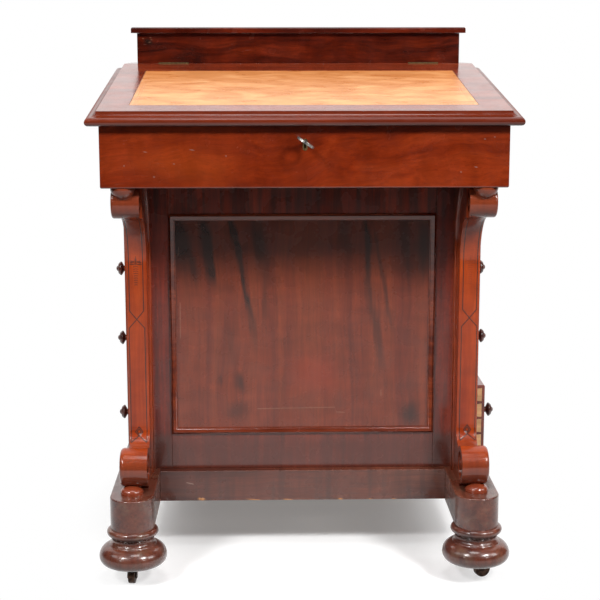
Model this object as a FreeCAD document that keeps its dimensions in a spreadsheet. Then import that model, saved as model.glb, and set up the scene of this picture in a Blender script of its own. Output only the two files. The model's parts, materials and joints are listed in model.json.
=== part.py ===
import FreeCAD, Part
import os
import re
import Sketcher

# Davenport desk in millimetres: X to the sitter's right, Y to the back, Z up.
# The origin lies on the floor under the middle of the desk. The drawers open
# to the right, and the left side carries dummy drawer fronts.

SIZES = {
    # writing box ("well") and its top
    "desk_width": 610, "desk_depth": 580, "case_inset": 18, "case_floor": 582,
    "case_board": 14, "case_round": 2.5, "case_bottom_thick": 8, "top_height": 748.6, "top_thick": 19.5,
    "slope_angle": 8.07, "hinge_line": 138.8, "running_gap": 0.4,
    "flat_inset": 15, "quirk_drop": 0.5, "cove_radius": 6.6, "nose_radius": 6.2,
    "leather_width": 497, "leather_depth": 300, "leather_front": 59, "leather_thick": 1.2,
    # stationery box
    "box_half": 268.3, "box_front": 142, "box_back": 268, "box_wall": 9, "box_top": 797.4,
    "lid_gap": 1.2, "lid_play": 0.3, "lid_thick": 9.3, "lid_overhang": 9.2, "lid_round": 3,
    "partition_thick": 6, "partition_drop": 8, "partition_place": 92, "pen_tray_depth": 58,
    # pedestal
    "pedestal_half": 268, "pedestal_front": -128, "pedestal_board": 18, "pedestal_top_thick": 6.6,
    "back_board": 14, "panel_width": 405.5, "panel_low": 186.4, "panel_high": 528.8,
    "bead_width": 10, "bead_rise": 6, "side_stile": 28, "backing_thick": 12, "dummy_thick": 6,
    # drawers, numbered from the top
    "front_height_1": 89, "front_height_2": 98, "front_height_3": 112, "front_height_4": 119,
    "drawer_open_1": 0, "drawer_open_2": 1, "drawer_open_3": 4.5, "drawer_open_4": 19,
    "bottom_rail": 4, "divider_thick": 6.4, "play_below": 0.3, "play_above": 0.6, "end_play": 0.8,
    "front_thick": 18, "front_lap": 4.4, "front_round": 2.6, "drawer_side_thick": 9,
    "drawer_back_thick": 8, "drawer_back_drop": 4, "drawer_bottom_thick": 6,
    "drawer_bottom_rise": 6, "drawer_rear": -240, "pin_root": 6.4, "pin_tip": 3, "tail_pitch": 25, "bearer_width": 22,
    # turned knobs
    "knob_foot": 8.5, "knob_ring": 2.4, "knob_neck": 4.5, "neck_height": 9, "waist_round": 7.6,
    "body_low": 13.6, "rim_inner": 10, "rim_low": 16.7, "rim_high": 19.9, "rim_round": 1.8,
    "boss_base": 5, "boss_low": 22.8, "face_round": 5, "boss_radius": 4.2, "boss_rise": 1,
    "knob_length": 26,
    "spigot_radius": 4, "spigot_length": 5, "spigot_play": 0.05, "spigot_room": 0.5,
    "knob_inset": 78,
    # base: sledge runners, rails, bun feet
    "base_top": 130.6, "base_low": 82.6, "runner_inner": 221.3, "runner_outer": 285.5,
    "foot_place": 259.5, "runner_round": 2, "rail_face": -143, "rail_thick": 20,
    "base_board_thick": 12,
    "bun_foot_radius": 36.6, "bun_low": 27.2, "bun_radius": 49.6, "bun_waist": 40.2,
    "bun_low_round": 13.1, "bun_shoulder": 36, "bun_high": 57.5, "bun_high_round": 17.7,
    "cove_foot": 34.5, "cove_neck": 30.4, "cove_top": 67, "cove_round": 9, "fillet_rise": 1.2,
    "fillet_radius": 31.6, "groove_radius": 30.6, "ring_inner": 32.2, "ring_round": 5.6,
    "recess_radius": 14, "recess_top": 33,
    # castors
    "wheel_radius": 12, "wheel_width": 10, "wheel_bore": 2.06, "wheel_round": 1.6,
    "axle_radius": 2, "castor_trail": 11, "fork_gap": 0.4, "fork_arm": 1.6, "fork_boss": 5,
    "fork_plate_low": 28, "fork_plate_thick": 2.6, "fork_plate_radius": 9, "fork_seat": 0.5,
    "fork_front": 7, "fork_back": 5, "pivot_radius": 4, "pivot_top": 44, "pivot_play": 0.05,
    "pivot_room": 1, "cup_radius": 6.5, "cup_flange": 12, "cup_flange_thick": 2, "cup_top": 47,
    # scroll trusses
    "truss_inner": 232, "truss_width": 30.6, "truss_face": -181, "truss_round": 1.6,
    "roll_top_y": -238, "roll_top_z": 558.6, "roll_top_radius": 22.6, "roll_top_inner": 234.6,
    "roll_top_width": 40.2, "roll_low_y": -237, "roll_low_z": 166.8, "roll_low_radius": 28.4,
    "roll_low_inner": 230.6, "roll_low_width": 40.6, "roll_top_round": 3.5,
    "roll_low_round": 6, "sweep_top": 74,
    "sweep_low": 25, "truss_heel": -226, "dish_share": 0.7, "eye_share": 0.3, "dish_depth": 3,
    "strip_inner": 229, "strip_thick": 20, "strip_reach": 56, "strip_sweep": 110, "strip_round": 2.2,
    "button_top_x": 257, "button_top_y": -253.6, "button_top_radius": 18,
    "button_top_rise": 17.6, "button_low_rise": 12.4, "button_wall": 2, "button_round": 7.5,
    "button_low_x": 254, "button_low_y": -250, "button_low_radius": 17,
    # butt hinges of the writing slope and of the stationery box lid
    "slope_hinge_place": 208, "slope_hinge_rise": 0.2, "slope_hinge_length": 50,
    "slope_hinge_leaf": 15, "slope_hinge_thick": 1.2, "slope_hinge_gap": 0.8,
    "slope_hinge_barrel": 1.8, "slope_hinge_pin": 0.9, "lid_hinge_place": 190,
    "lid_hinge_length": 40, "lid_hinge_leaf": 8, "lid_hinge_thick": 1.2, "lid_hinge_gap": 1.2,
    "lid_hinge_barrel": 2.4, "lid_hinge_pin": 1.2, "lid_hinge_back": 0.1,
    "hinge_pin_play": 0.05, "knuckle_gap": 0.25, "hinge_clear": 0.3, "hinge_room": 0.1,
    "barrel_room": 6,
    # lock
    "over_cut": 1, "key_height": 647.5, "lock_half": 25, "lock_low": 628, "lock_high": 671, "lock_thick": 11,
    "lock_back": 2, "chamber_radius": 8.5, "bolt_half": 6.8, "bolt_thick": 5.6, "bolt_low": 657,
    "bolt_play": 0.2, "strike_half": 22, "strike_depth": 12, "strike_thick": 1.6,
    "mortise_half": 8, "mortise_width": 9, "mortise_depth": 10,
    "escutcheon_half": 3.5, "escutcheon_low": 634.8, "escutcheon_high": 651.3,
    "escutcheon_thick": 1.5, "escutcheon_sunk": 1.2, "keyhole_radius": 2.8, "keyhole_slot": 1.5,
    "keyhole_low": 638, "key_shank": 2.2, "key_reach": 14, "bow_radius": 13.5, "bow_hole": 9,
    "bow_thick": 3, "bow_standoff": 12, "bit_reach": 7.5, "bit_width": 5, "bit_thick": 2,
    "key_tilt": 34,
}
DRAWERS = (1, 2, 3, 4)
TAILS = {1: 3, 2: 3, 3: 4, 4: 4}
CASTOR_HEADINGS = {"front_left": -95, "front_right": 20, "rear_left": 125, "rear_right": 60}

doc = FreeCAD.newDocument("DavenportDesk")
subparts = []


# ---------------------------------------------------------------- sizes and formulas

def fill_sheet():
    """Write every driving size into the spreadsheet, one row each, with its alias."""
    sheet = doc.addObject("Spreadsheet::Sheet", "Sizes")
    for row, (alias, value) in enumerate(SIZES.items(), start=1):
        sheet.set(f"A{row}", alias)
        sheet.set(f"B{row}", str(value))
        sheet.setAlias(f"B{row}", alias)
    doc.recompute()
    return sheet


sheet = fill_sheet()


def formula(text):
    """Point the size names in a formula at the spreadsheet."""
    return re.sub(r"[a-z]+(?:_[a-z0-9]+)+", lambda found: "Sizes." + found.group(0), str(text))


def number(text):
    """The present value of a formula."""
    return float(sheet.evalExpression(formula(text)))


def bind(thing, prop, text):
    thing.setExpression(prop, formula(text))


def slope_under(across):
    """Height of the closed slope's underside, less its running gap, at a given depth."""
    return (f"(top_height - (hinge_line - ({across})) * tan(slope_angle)"
            " - top_thick / cos(slope_angle) - running_gap)")


# ---------------------------------------------------------------- building blocks

def deliver(thing, label):
    """Name a finished sub-part and put it on the list of files to write."""
    thing.Label = label
    subparts.append(thing)
    return thing


def board(name, x_span, y_span, z_span):
    """A square-edged board between two corners."""
    box = doc.addObject("Part::Box", name)
    spans = zip(("Length", "Width", "Height"), "xyz", (x_span, y_span, z_span))
    for prop, axis, (low, high) in spans:
        bind(box, prop, f"({high}) - ({low})")
        bind(box, f"Placement.Base.{axis}", low)
    return box


def rod(name, radius, length, place, axis="z"):
    """A cylinder that starts at a place and runs along an axis."""
    cylinder = doc.addObject("Part::Cylinder", name)
    bind(cylinder, "Radius", radius)
    bind(cylinder, "Height", length)
    turns = {"z": (0, 0, 0), "x": (0, 90, 0), "y": (0, 0, -90)}
    cylinder.Placement.Rotation = FreeCAD.Rotation(*turns[axis])
    for letter, value in zip("xyz", place):
        bind(cylinder, f"Placement.Base.{letter}", value)
    return cylinder


def group(name, pieces):
    """Several separate solids that make one sub-part."""
    compound = doc.addObject("Part::Compound", name)
    compound.Links = pieces
    return compound


def fused(name, pieces):
    fuse = doc.addObject("Part::MultiFuse", name)
    fuse.Shapes = pieces
    return fuse


def cut(name, base, tool):
    difference = doc.addObject("Part::Cut", name)
    difference.Base = base
    difference.Tool = tool
    return difference


def mirrored(name, source):
    """The same piece on the other side of the desk."""
    mirror = doc.addObject("Part::Mirroring", name)
    mirror.Source = source
    mirror.Normal = FreeCAD.Vector(1, 0, 0)
    return mirror


def placed(name, source, place, turn_axis=(0, 0, 1), turn=0):
    """A copy of a pattern piece at a place, turned about an axis."""
    link = doc.addObject("App::Link", name)
    link.LinkedObject = source
    link.Placement = FreeCAD.Placement(
        FreeCAD.Vector(), FreeCAD.Rotation(FreeCAD.Vector(*turn_axis), turn))
    for letter, value in zip("xyz", place):
        bind(link, f"Placement.Base.{letter}", value)
    return link


def new_body(name):
    return doc.addObject("PartDesign::Body", name)


def new_sketch(body, plane, start="0"):
    """A sketch on one of the body's own planes, moved along the plane's normal."""
    sketch = body.newObject("Sketcher::SketchObject", body.Name + "_sketch")
    role = plane + "_Plane"
    support = [item for item in body.Origin.OriginFeatures if item.Role == role][0]
    sketch.AttachmentSupport = [(support, "")]
    sketch.MapMode = "FlatFace"
    bind(sketch, "AttachmentOffset.Base.z", start)
    return sketch


def fix_point(sketch, index, end, across, up):
    """Hold one end of an edge at a place given by two formulas."""
    for text, kind, axis in ((across, "DistanceX", -2), (up, "DistanceY", -1)):
        value = number(text)
        if abs(value) < 1e-9:
            sketch.addConstraint(Sketcher.Constraint("PointOnObject", index, end, axis))
            continue
        spot = sketch.addConstraint(Sketcher.Constraint(kind, -1, 1, index, end, value))
        bind(sketch, f"Constraints[{spot}]", text)


def arc_between(first, last, radius):
    """The shorter arc between two points; a positive radius turns to the left."""
    chord = last - first
    half = chord.Length / 2
    rise = max(radius * radius - half * half, 0) ** 0.5
    left = FreeCAD.Vector(-chord.y, chord.x, 0).normalize()
    side = 1 if radius > 0 else -1
    centre = (first + last) * 0.5 + left * (rise * side)
    circle = Part.Circle(centre, FreeCAD.Vector(0, 0, 1), abs(radius))
    ends = (first, last) if radius > 0 else (last, first)
    return Part.ArcOfCircle(circle, circle.parameter(ends[0]), circle.parameter(ends[1]))


def draw_outline(sketch, steps):
    """Draw one closed outline. Each step is (across, up) for a straight edge that
    ends there, or (across, up, radius) for an arc that ends there."""
    points = [FreeCAD.Vector(number(step[0]), number(step[1]), 0) for step in steps]
    ends = []
    for place, step in enumerate(steps):
        first, last = points[place - 1], points[place]
        if len(step) == 2:
            index = sketch.addGeometry(Part.LineSegment(first, last))
            ends.append((index, 1, 2))
            continue
        radius = number(step[2])
        index = sketch.addGeometry(arc_between(first, last, radius))
        ends.append((index, 1, 2) if radius > 0 else (index, 2, 1))
    for place, step in enumerate(steps):
        index, start, stop = ends[place]
        before = ends[place - 1]
        sketch.addConstraint(Sketcher.Constraint("Coincident", before[0], before[2], index, start))
        fix_point(sketch, index, stop, step[0], step[1])
        if len(step) == 3:
            hold_arc(sketch, index, steps[place - 1], step, points[place] - points[place - 1])


def hold_arc(sketch, index, before, step, chord):
    """Fix an arc by its radius, or a half circle by the middle of its chord."""
    radius = abs(number(step[2]))
    if radius > chord.Length / 2 + 1e-6:
        spot = sketch.addConstraint(Sketcher.Constraint("Radius", index, radius))
        bind(sketch, f"Constraints[{spot}]", f"abs({step[2]})")
        return
    part, kind, axis = (0, "DistanceX", -2) if abs(chord.y) > abs(chord.x) else (1, "DistanceY", -1)
    middle = f"(({before[part]}) + ({step[part]})) / 2"
    if abs(number(middle)) < 1e-9:
        sketch.addConstraint(Sketcher.Constraint("PointOnObject", index, 3, axis))
        return
    spot = sketch.addConstraint(Sketcher.Constraint(kind, -1, 1, index, 3, number(middle)))
    bind(sketch, f"Constraints[{spot}]", middle)


def draw_circle(sketch, across, up, radius):
    centre = FreeCAD.Vector(number(across), number(up), 0)
    index = sketch.addGeometry(Part.Circle(centre, FreeCAD.Vector(0, 0, 1), number(radius)))
    fix_point(sketch, index, 3, across, up)
    spot = sketch.addConstraint(Sketcher.Constraint("Radius", index, number(radius)))
    bind(sketch, f"Constraints[{spot}]", radius)


def add_pad(body, sketch, length, symmetric=False, backwards=False):
    pad = body.newObject("PartDesign::Pad", body.Name + "_pad")
    pad.Profile = sketch
    pad.SideType = "Symmetric" if symmetric else "One side"
    pad.Reversed = backwards
    bind(pad, "Length", length)
    return pad


def add_pocket(body, sketch, length, symmetric=False, backwards=False):
    pocket = body.newObject("PartDesign::Pocket", body.Name + "_pocket")
    pocket.Profile = sketch
    pocket.SideType = "Symmetric" if symmetric else "One side"
    pocket.Reversed = backwards
    bind(pocket, "Length", length)
    return pocket


def add_turning(body, sketch, axis="V_Axis"):
    turning = body.newObject("PartDesign::Revolution", body.Name + "_turning")
    turning.Profile = sketch
    turning.ReferenceAxis = (sketch, [axis])
    turning.Angle = 360
    return turning


def round_edges(body, base, radius, wanted):
    """Round the edges of the last feature whose two ends pass a test."""
    doc.recompute()
    names = []
    for place, edge in enumerate(base.Shape.Edges, start=1):
        if all(wanted(corner.Point) for corner in edge.Vertexes):
            names.append(f"Edge{place}")
    fillet = body.newObject("PartDesign::Fillet", body.Name + "_fillet")
    fillet.Base = (base, names)
    bind(fillet, "Radius", radius)
    return fillet


def prism(name, plane, steps, start, length):
    """A body with one outline padded from a start along its plane's normal."""
    body = new_body(name)
    sketch = new_sketch(body, plane, start)
    draw_outline(sketch, steps)
    add_pad(body, sketch, length)
    return body


def turned(name, steps):
    """A turned piece: an outline of radius and height, spun about the upright axis."""
    body = new_body(name)
    sketch = new_sketch(body, "XZ")
    draw_outline(sketch, steps)
    add_turning(body, sketch)
    return body


# ---------------------------------------------------------------- base

def make_runner():
    """A sledge foot: a long block with half-round ends and a softened top edge."""
    body = new_body("runner_right")
    sketch = new_sketch(body, "XY", "base_low")
    end_radius = "(runner_outer - runner_inner) / 2"
    draw_outline(sketch, [
        ("runner_inner", "-foot_place"), ("runner_outer", "-foot_place", end_radius),
        ("runner_outer", "foot_place"), ("runner_inner", "foot_place", end_radius)])
    pad = add_pad(body, sketch, "base_top - base_low")
    top = number("base_top")
    round_edges(body, pad, "runner_round", lambda point: abs(point.z - top) < 1e-3)
    deliver(body, "runner_right")
    deliver(mirrored("runner_left", body), "runner_left")


def make_base_frame():
    """The rails between the two runners and the board that closes the base."""
    across = ("-runner_inner", "runner_inner")
    rear = "desk_depth / 2 - case_inset"
    height = ("base_low", "base_top")
    front_rail = board("plinth_rail_front", across, ("rail_face", "rail_face + rail_thick"), height)
    deliver(front_rail, "plinth_rail_front")
    deliver(board("plinth_rail_back", across, (f"{rear} - rail_thick", rear), height),
            "plinth_rail_back")
    deliver(board("base_board", across, ("rail_face + rail_thick", f"{rear} - rail_thick"),
                  ("base_top - base_board_thick", "base_top")), "base_board")


def foot_places():
    """Centre of each bun foot, by name."""
    centre = "(runner_inner + runner_outer) / 2"
    return {
        "front_left": (f"-{centre}", "-foot_place"),
        "front_right": (centre, "-foot_place"),
        "rear_left": (f"-{centre}", "foot_place"),
        "rear_right": (centre, "foot_place")}


def make_bun_feet():
    """Turned bun feet: a flattened ball, a cove between two fillets and a half-round
    ring under the runner, bored below for the castor socket."""
    cove_low, fillet_top = "(bun_high + fillet_rise)", "(cove_top + fillet_rise)"
    ring_low = "(base_low - 2 * ring_round)"
    pattern = turned("bun_pattern", [
        ("cup_radius", "recess_top"), ("recess_radius", "recess_top"),
        ("recess_radius", "bun_low"), ("bun_foot_radius", "bun_low"),
        ("bun_radius", "bun_waist", "bun_low_round"),
        ("bun_shoulder", "bun_high", "bun_high_round"), ("cove_foot", "bun_high"),
        ("cove_foot", cove_low), ("cove_neck", "cove_top", "-cove_round"),
        ("fillet_radius", "cove_top"), ("fillet_radius", fillet_top),
        ("groove_radius", fillet_top), ("groove_radius", ring_low), ("ring_inner", ring_low),
        ("ring_inner", "base_low", "ring_round"),
        ("0", "base_low"), ("0", "cup_top"), ("cup_radius", "cup_top")])
    feet = [placed(f"bun_{name}", pattern, (x, y, "0")) for name, (x, y) in foot_places().items()]
    deliver(group("bun_feet", feet), "bun_feet")


def make_castor_cups():
    """Brass sockets let up into the bun feet, which the castor pivots turn in."""
    pattern = turned("cup_pattern", [
        ("pivot_radius + pivot_play", "recess_top - cup_flange_thick"),
        ("cup_flange", "recess_top - cup_flange_thick"), ("cup_flange", "recess_top"),
        ("cup_radius", "recess_top"), ("cup_radius", "cup_top"), ("0", "cup_top"),
        ("0", "pivot_top + pivot_room"), ("pivot_radius + pivot_play", "pivot_top + pivot_room")])
    cups = [placed(f"cup_{name}", pattern, (x, y, "0")) for name, (x, y) in foot_places().items()]
    deliver(group("castor_cups", cups), "castor_cups")


def make_fork_pattern():
    """A castor fork: pivot pin, top plate, two arms and the axle between them."""
    inner = "(wheel_width / 2 + fork_gap)"
    plate_low, trail, axle = "fork_plate_low", "castor_trail", "wheel_radius"
    pieces = [
        rod("fork_plate", "fork_plate_radius", "fork_plate_thick", ("0", "0", plate_low)),
        rod("fork_pivot", "pivot_radius", f"pivot_top - {plate_low}", ("0", "0", plate_low)),
        rod("fork_axle", "axle_radius", f"2 * {inner} + fork_arm",
            (trail, f"-{inner} - fork_arm / 2", axle), "y")]
    arm_outline = [
        (f"{trail} - fork_boss", axle), (f"{trail} + fork_boss", axle, "fork_boss"),
        ("fork_front", f"{plate_low} + fork_seat"), ("-fork_back", f"{plate_low} + fork_seat")]
    for side, start in (("near", inner), ("far", f"-{inner} - fork_arm")):
        pieces.append(prism(f"fork_arm_{side}", "XZ", arm_outline, start, "fork_arm"))
    return fused("fork_pattern", pieces)


def make_wheel_pattern():
    body = new_body("wheel_pattern")
    sketch = new_sketch(body, "XZ")
    draw_circle(sketch, "castor_trail", "wheel_radius", "wheel_radius")
    draw_circle(sketch, "castor_trail", "wheel_radius", "wheel_bore")
    pad = add_pad(body, sketch, "wheel_width", symmetric=True)
    hub = FreeCAD.Vector(number("castor_trail"), 0, number("wheel_radius"))
    reach = number("wheel_radius") * 0.9
    round_edges(body, pad, "wheel_round",
                lambda point: FreeCAD.Vector(point.x, 0, point.z).distanceToPoint(hub) > reach)
    return body


def make_castors():
    fork = make_fork_pattern()
    wheel = make_wheel_pattern()
    for name, (x, y) in foot_places().items():
        turn = CASTOR_HEADINGS[name]
        for kind, pattern in (("horn", fork), ("wheel", wheel)):
            label = f"castor_{kind}_{name}"
            copy = placed(label + "_copy", pattern, (x, y, "0"), turn=turn)
            deliver(group(label, [copy]), label)


# ---------------------------------------------------------------- pedestal

def make_pedestal_front():
    """Framed front: two stiles, two rails, a flush panel and a mitred bead round it."""
    face = "pedestal_front"
    depth = (face, f"{face} + pedestal_board")
    edge, low, high = "panel_width / 2", "panel_low", "panel_high"
    frame = [
        board("stile_left", ("-pedestal_half", f"-({edge})"), depth, ("base_top", "case_floor")),
        board("stile_right", (edge, "pedestal_half"), depth, ("base_top", "case_floor")),
        board("rail_low", (f"-({edge})", edge), depth, ("base_top", low)),
        board("rail_high", (f"-({edge})", edge), depth, (high, "case_floor"))]
    deliver(group("pedestal_front_frame", frame), "pedestal_front_frame")
    deliver(board("front_panel", (f"-({edge})", edge), (face, f"{face} + backing_thick"),
                  (low, high)), "front_panel")


def make_panel_bead():
    """The raised ogee bead, swept round the panel with mitred corners."""
    body = new_body("panel_moulding")
    path = new_sketch(body, "XZ", "-pedestal_front")
    half = "(panel_width / 2)"
    draw_outline(path, [(f"-{half}", "panel_low"), (half, "panel_low"),
                        (half, "panel_high"), (f"-{half}", "panel_high")])
    section = new_sketch(body, "YZ")
    back, outer = "pedestal_front", "panel_low"
    draw_outline(section, [
        (back, outer), (f"{back} - bead_rise * 0.45", outer),
        (f"{back} - bead_rise", f"{outer} + bead_width * 0.32", "bead_rise * 0.62"),
        (f"{back} - bead_rise * 0.8", f"{outer} + bead_width * 0.5"),
        (f"{back} - bead_rise * 0.3", f"{outer} + bead_width * 0.9", "-bead_width * 0.55"),
        (f"{back} - bead_rise * 0.3", f"{outer} + bead_width"), (back, f"{outer} + bead_width")])
    pipe = body.newObject("PartDesign::AdditivePipe", "panel_moulding_sweep")
    pipe.Profile = section
    pipe.Spine = (path, [])
    pipe.Transition = "Right corner"
    deliver(body, "panel_moulding")


def opening_floor(place):
    """Height of the rail that carries a drawer, counted up from the base."""
    text = "base_top + bottom_rail"
    for lower in range(place + 1, len(DRAWERS) + 1):
        text += f" + front_height_{lower} + play_below + play_above + divider_thick"
    return f"({text})"


def drawer_low(place):
    return f"({opening_floor(place)} + play_below)"


SIDE_FRONT = "pedestal_front + side_stile"
SIDE_REAR = "desk_depth / 2 - case_inset - side_stile"
REAR_FACE = "desk_depth / 2 - case_inset"


def make_right_frame():
    """The open drawer side: two stiles and the rails between the drawers."""
    across = ("pedestal_half - front_thick", "pedestal_half")
    inside = ("pedestal_front + pedestal_board", f"{REAR_FACE} - back_board")
    pieces = [
        board("side_stile_front", across, (inside[0], SIDE_FRONT), ("base_top", "case_floor")),
        board("side_stile_rear", across, (SIDE_REAR, inside[1]), ("base_top", "case_floor")),
        board("side_rail_base", across, (SIDE_FRONT, SIDE_REAR),
              ("base_top", "base_top + bottom_rail"))]
    for place in DRAWERS[:-1]:
        floor = opening_floor(place)
        pieces.append(board(f"side_rail_{place}", across, (SIDE_FRONT, SIDE_REAR),
                            (f"{floor} - divider_thick", floor)))
    deliver(group("right_face_frame", pieces), "right_face_frame")


def make_drawer_bearers():
    """Two bearers under each drawer, from the drawer side to the closed side."""
    across = ("-pedestal_half + backing_thick + dummy_thick", "pedestal_half - front_thick")
    front, rear = "pedestal_front + pedestal_board", f"{REAR_FACE} - back_board"
    pieces = []
    for place in DRAWERS:
        floor = opening_floor(place)
        thick = "bottom_rail" if place == DRAWERS[-1] else "divider_thick"
        for side, span in (("front", (front, f"{front} + bearer_width")),
                           ("rear", (f"{rear} - bearer_width", rear))):
            height = (f"{floor} - {thick}", floor)
            pieces.append(board(f"bearer_{place}_{side}", across, span, height))
    deliver(group("drawer_bearers", pieces), "drawer_bearers")


def front_outline(place, back, face):
    """End view of a drawer front: square at the back, rounded at the outer face."""
    low = drawer_low(place)
    high = f"({low} + front_height_{place})"
    side = 1 if number(face) > number(back) else -1
    inset = f"{face} - {side} * front_round"
    steps = [(back, low), (inset, low), (face, f"{low} + front_round", f"{side} * front_round"),
             (face, f"{high} - front_round"), (inset, high, f"{side} * front_round"), (back, high)]
    return steps


def knob_heights(place):
    return f"({drawer_low(place)} + front_height_{place} / 2)"


def knob_depths():
    return (f"({SIDE_FRONT} + knob_inset)", f"({SIDE_REAR} - knob_inset)")


def make_knob_pattern():
    """A turned knob: spigot, foot ring, waist, rear cone, rounded rim and face, boss."""
    boss_top = "(boss_low + boss_rise)"
    rise = f"(knob_length - {boss_top})"
    return turned("knob_pattern", [
        ("0", "-spigot_length"), ("spigot_radius", "-spigot_length"), ("spigot_radius", "0"),
        ("knob_foot", "0"), ("knob_foot", "knob_ring"),
        ("knob_neck", "neck_height", "-waist_round"), ("knob_neck", "body_low"),
        ("rim_inner", "rim_low"), ("rim_inner", "rim_high", "rim_round"),
        ("boss_base", "boss_low", "face_round"),
        ("boss_radius", "boss_low"), ("boss_radius", boss_top),
        ("0", "knob_length", f"(boss_radius^2 + {rise}^2) / (2 * {rise})")])


def make_left_side(knob):
    """The closed side: backing board, stiles and rails, dummy fronts and their knobs."""
    face = "-pedestal_half"
    inner = "(-pedestal_half + dummy_thick)"
    front, rear = "pedestal_front + pedestal_board", f"{REAR_FACE} - back_board"
    pieces = [board("side_backing", (inner, f"{inner} + backing_thick"), (front, rear),
                    ("base_top", "case_floor"))]
    strip = (face, inner)
    pieces.append(board("dummy_stile_front", strip, (front, SIDE_FRONT), ("base_top", "case_floor")))
    pieces.append(board("dummy_stile_rear", strip, (SIDE_REAR, rear), ("base_top", "case_floor")))
    pieces.append(board("dummy_rail_base", strip, (SIDE_FRONT, SIDE_REAR),
                        ("base_top", "base_top + bottom_rail")))
    pieces.append(board("dummy_rail_top", strip, (SIDE_FRONT, SIDE_REAR),
                        ("case_floor - pedestal_top_thick", "case_floor")))
    for place in DRAWERS[:-1]:
        floor = opening_floor(place)
        pieces.append(board(f"dummy_rail_{place}", strip, (SIDE_FRONT, SIDE_REAR),
                            (f"{floor} - divider_thick", floor)))
    deliver(group("pedestal_left_side", pieces), "pedestal_left_side")
    fronts, knobs = [], []
    start = f"-({SIDE_REAR} - end_play)"
    length = f"{SIDE_REAR} - ({SIDE_FRONT}) - 2 * end_play"
    for place in DRAWERS:
        outline = front_outline(place, inner, face)
        blank = prism(f"dummy_blank_{place}", "XZ", outline, start, length)
        holes = []
        for spot, depth in zip(("a", "b"), knob_depths()):
            height = knob_heights(place)
            holes.append(rod(f"dummy_hole_{place}{spot}", "spigot_radius + spigot_play",
                             "dummy_thick", (face, depth, height), "x"))
            knobs.append(placed(f"dummy_knob_{place}{spot}", knob, (face, depth, height),
                                (0, 1, 0), -90))
        fronts.append(cut(f"dummy_front_{place}", blank, group(f"dummy_holes_{place}", holes)))
    deliver(group("dummy_drawer_fronts", fronts), "dummy_drawer_fronts")
    deliver(group("dummy_knobs", knobs), "dummy_knobs")


def make_pedestal_shell():
    """Back board and the thin top board under the writing box."""
    deliver(board("pedestal_back", ("-pedestal_half", "pedestal_half"),
                  (f"{REAR_FACE} - back_board", REAR_FACE), ("base_top", "case_floor")),
            "pedestal_back")
    deliver(board("pedestal_top", ("-pedestal_half + backing_thick + dummy_thick", "pedestal_half"),
                  (SIDE_FRONT, SIDE_REAR), ("case_floor - pedestal_top_thick", "case_floor")),
            "pedestal_top")


# ---------------------------------------------------------------- drawers

def dovetail_side(name, place, start):
    """A drawer side whose front end is cut into tails for the lapped joint."""
    shift = f"drawer_open_{place}"
    low = drawer_low(place)
    height = f"front_height_{place}"
    root = f"pedestal_half - front_thick + {shift}"
    tip = f"pedestal_half - front_lap + {shift}"
    rear = f"drawer_rear + {shift}"
    foot, head = f"({low} + pin_root / 2)", f"({low} + {height} - pin_root / 2)"
    pins = [foot] + [f"({head} - tail_pitch * {count})" for count in reversed(range(TAILS[place]))]
    steps = [(rear, low), (root, low)]
    for below, above in zip(pins, pins[1:]):
        steps += [(root, f"{below} + pin_root / 2"), (tip, f"{below} + pin_tip / 2"),
                  (tip, f"{above} - pin_tip / 2"), (root, f"{above} - pin_root / 2")]
    steps += [(root, f"{low} + {height}"), (rear, f"{low} + {height}")]
    return prism(name, "XZ", steps, f"-({start} + drawer_side_thick)", "drawer_side_thick")


def make_drawer(place, knob):
    """One drawer: lapped front, two dovetailed sides, back, bottom and two knobs."""
    shift = f"drawer_open_{place}"
    low = drawer_low(place)
    high = f"({low} + front_height_{place})"
    near = f"({SIDE_FRONT} + end_play)"
    far = f"({SIDE_REAR} - end_play)"
    back, face = f"pedestal_half - front_thick + {shift}", f"pedestal_half + {shift}"
    sides = [dovetail_side(f"drawer_{place}_side_near", place, near),
             dovetail_side(f"drawer_{place}_side_far", place, f"({far} - drawer_side_thick)")]
    blank = prism(f"drawer_{place}_blank", "XZ", front_outline(place, back, face),
                  f"-{far}", f"{far} - {near}")
    holes, knobs = [], []
    for spot, depth in zip(("a", "b"), knob_depths()):
        height = knob_heights(place)
        holes.append(rod(f"drawer_{place}_hole_{spot}", "spigot_radius + spigot_play",
                         "spigot_length + spigot_room",
                         (f"{face} - spigot_length - spigot_room", depth, height), "x"))
        knobs.append(placed(f"drawer_{place}_knob_{spot}", knob, (face, depth, height), (0, 1, 0), 90))
    sockets = group(f"drawer_{place}_sockets", sides + holes)
    deliver(cut(f"drawer_{place}_front", blank, sockets), f"drawer_{place}_front")
    inside = (f"{near} + drawer_side_thick", f"{far} - drawer_side_thick")
    rear = f"(drawer_rear + {shift})"
    box = sides + [
        board(f"drawer_{place}_rear", (rear, f"{rear} + drawer_back_thick"), inside,
              (low, f"{high} - drawer_back_drop")),
        board(f"drawer_{place}_bottom", (f"{rear} + drawer_back_thick", back), inside,
              (f"{low} + drawer_bottom_rise", f"{low} + drawer_bottom_rise + drawer_bottom_thick"))]
    deliver(group(f"drawer_{place}_box", box), f"drawer_{place}_box")
    deliver(group(f"drawer_{place}_knobs", knobs), f"drawer_{place}_knobs")


# ---------------------------------------------------------------- scroll trusses

def sweep_centre(roll_y, roll_z, roll_radius, sweep, side):
    """Centre height of the sweep that joins the column face to a roll."""
    gap = f"(truss_face - {sweep} - ({roll_y}))"
    return f"({roll_z} + {side} * sqrt(({roll_radius} + {sweep})^2 - {gap}^2))"


def roll_touch(roll, roll_radius, sweep, centre):
    """Where a sweep runs into its roll, on the line between the two centres."""
    share = f"{roll_radius} / ({roll_radius} + {sweep})"
    middle = ("(truss_face - " + sweep + ")", centre)
    return tuple(f"({spot} + ({end} - ({spot})) * {share})" for spot, end in zip(roll, middle))


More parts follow.
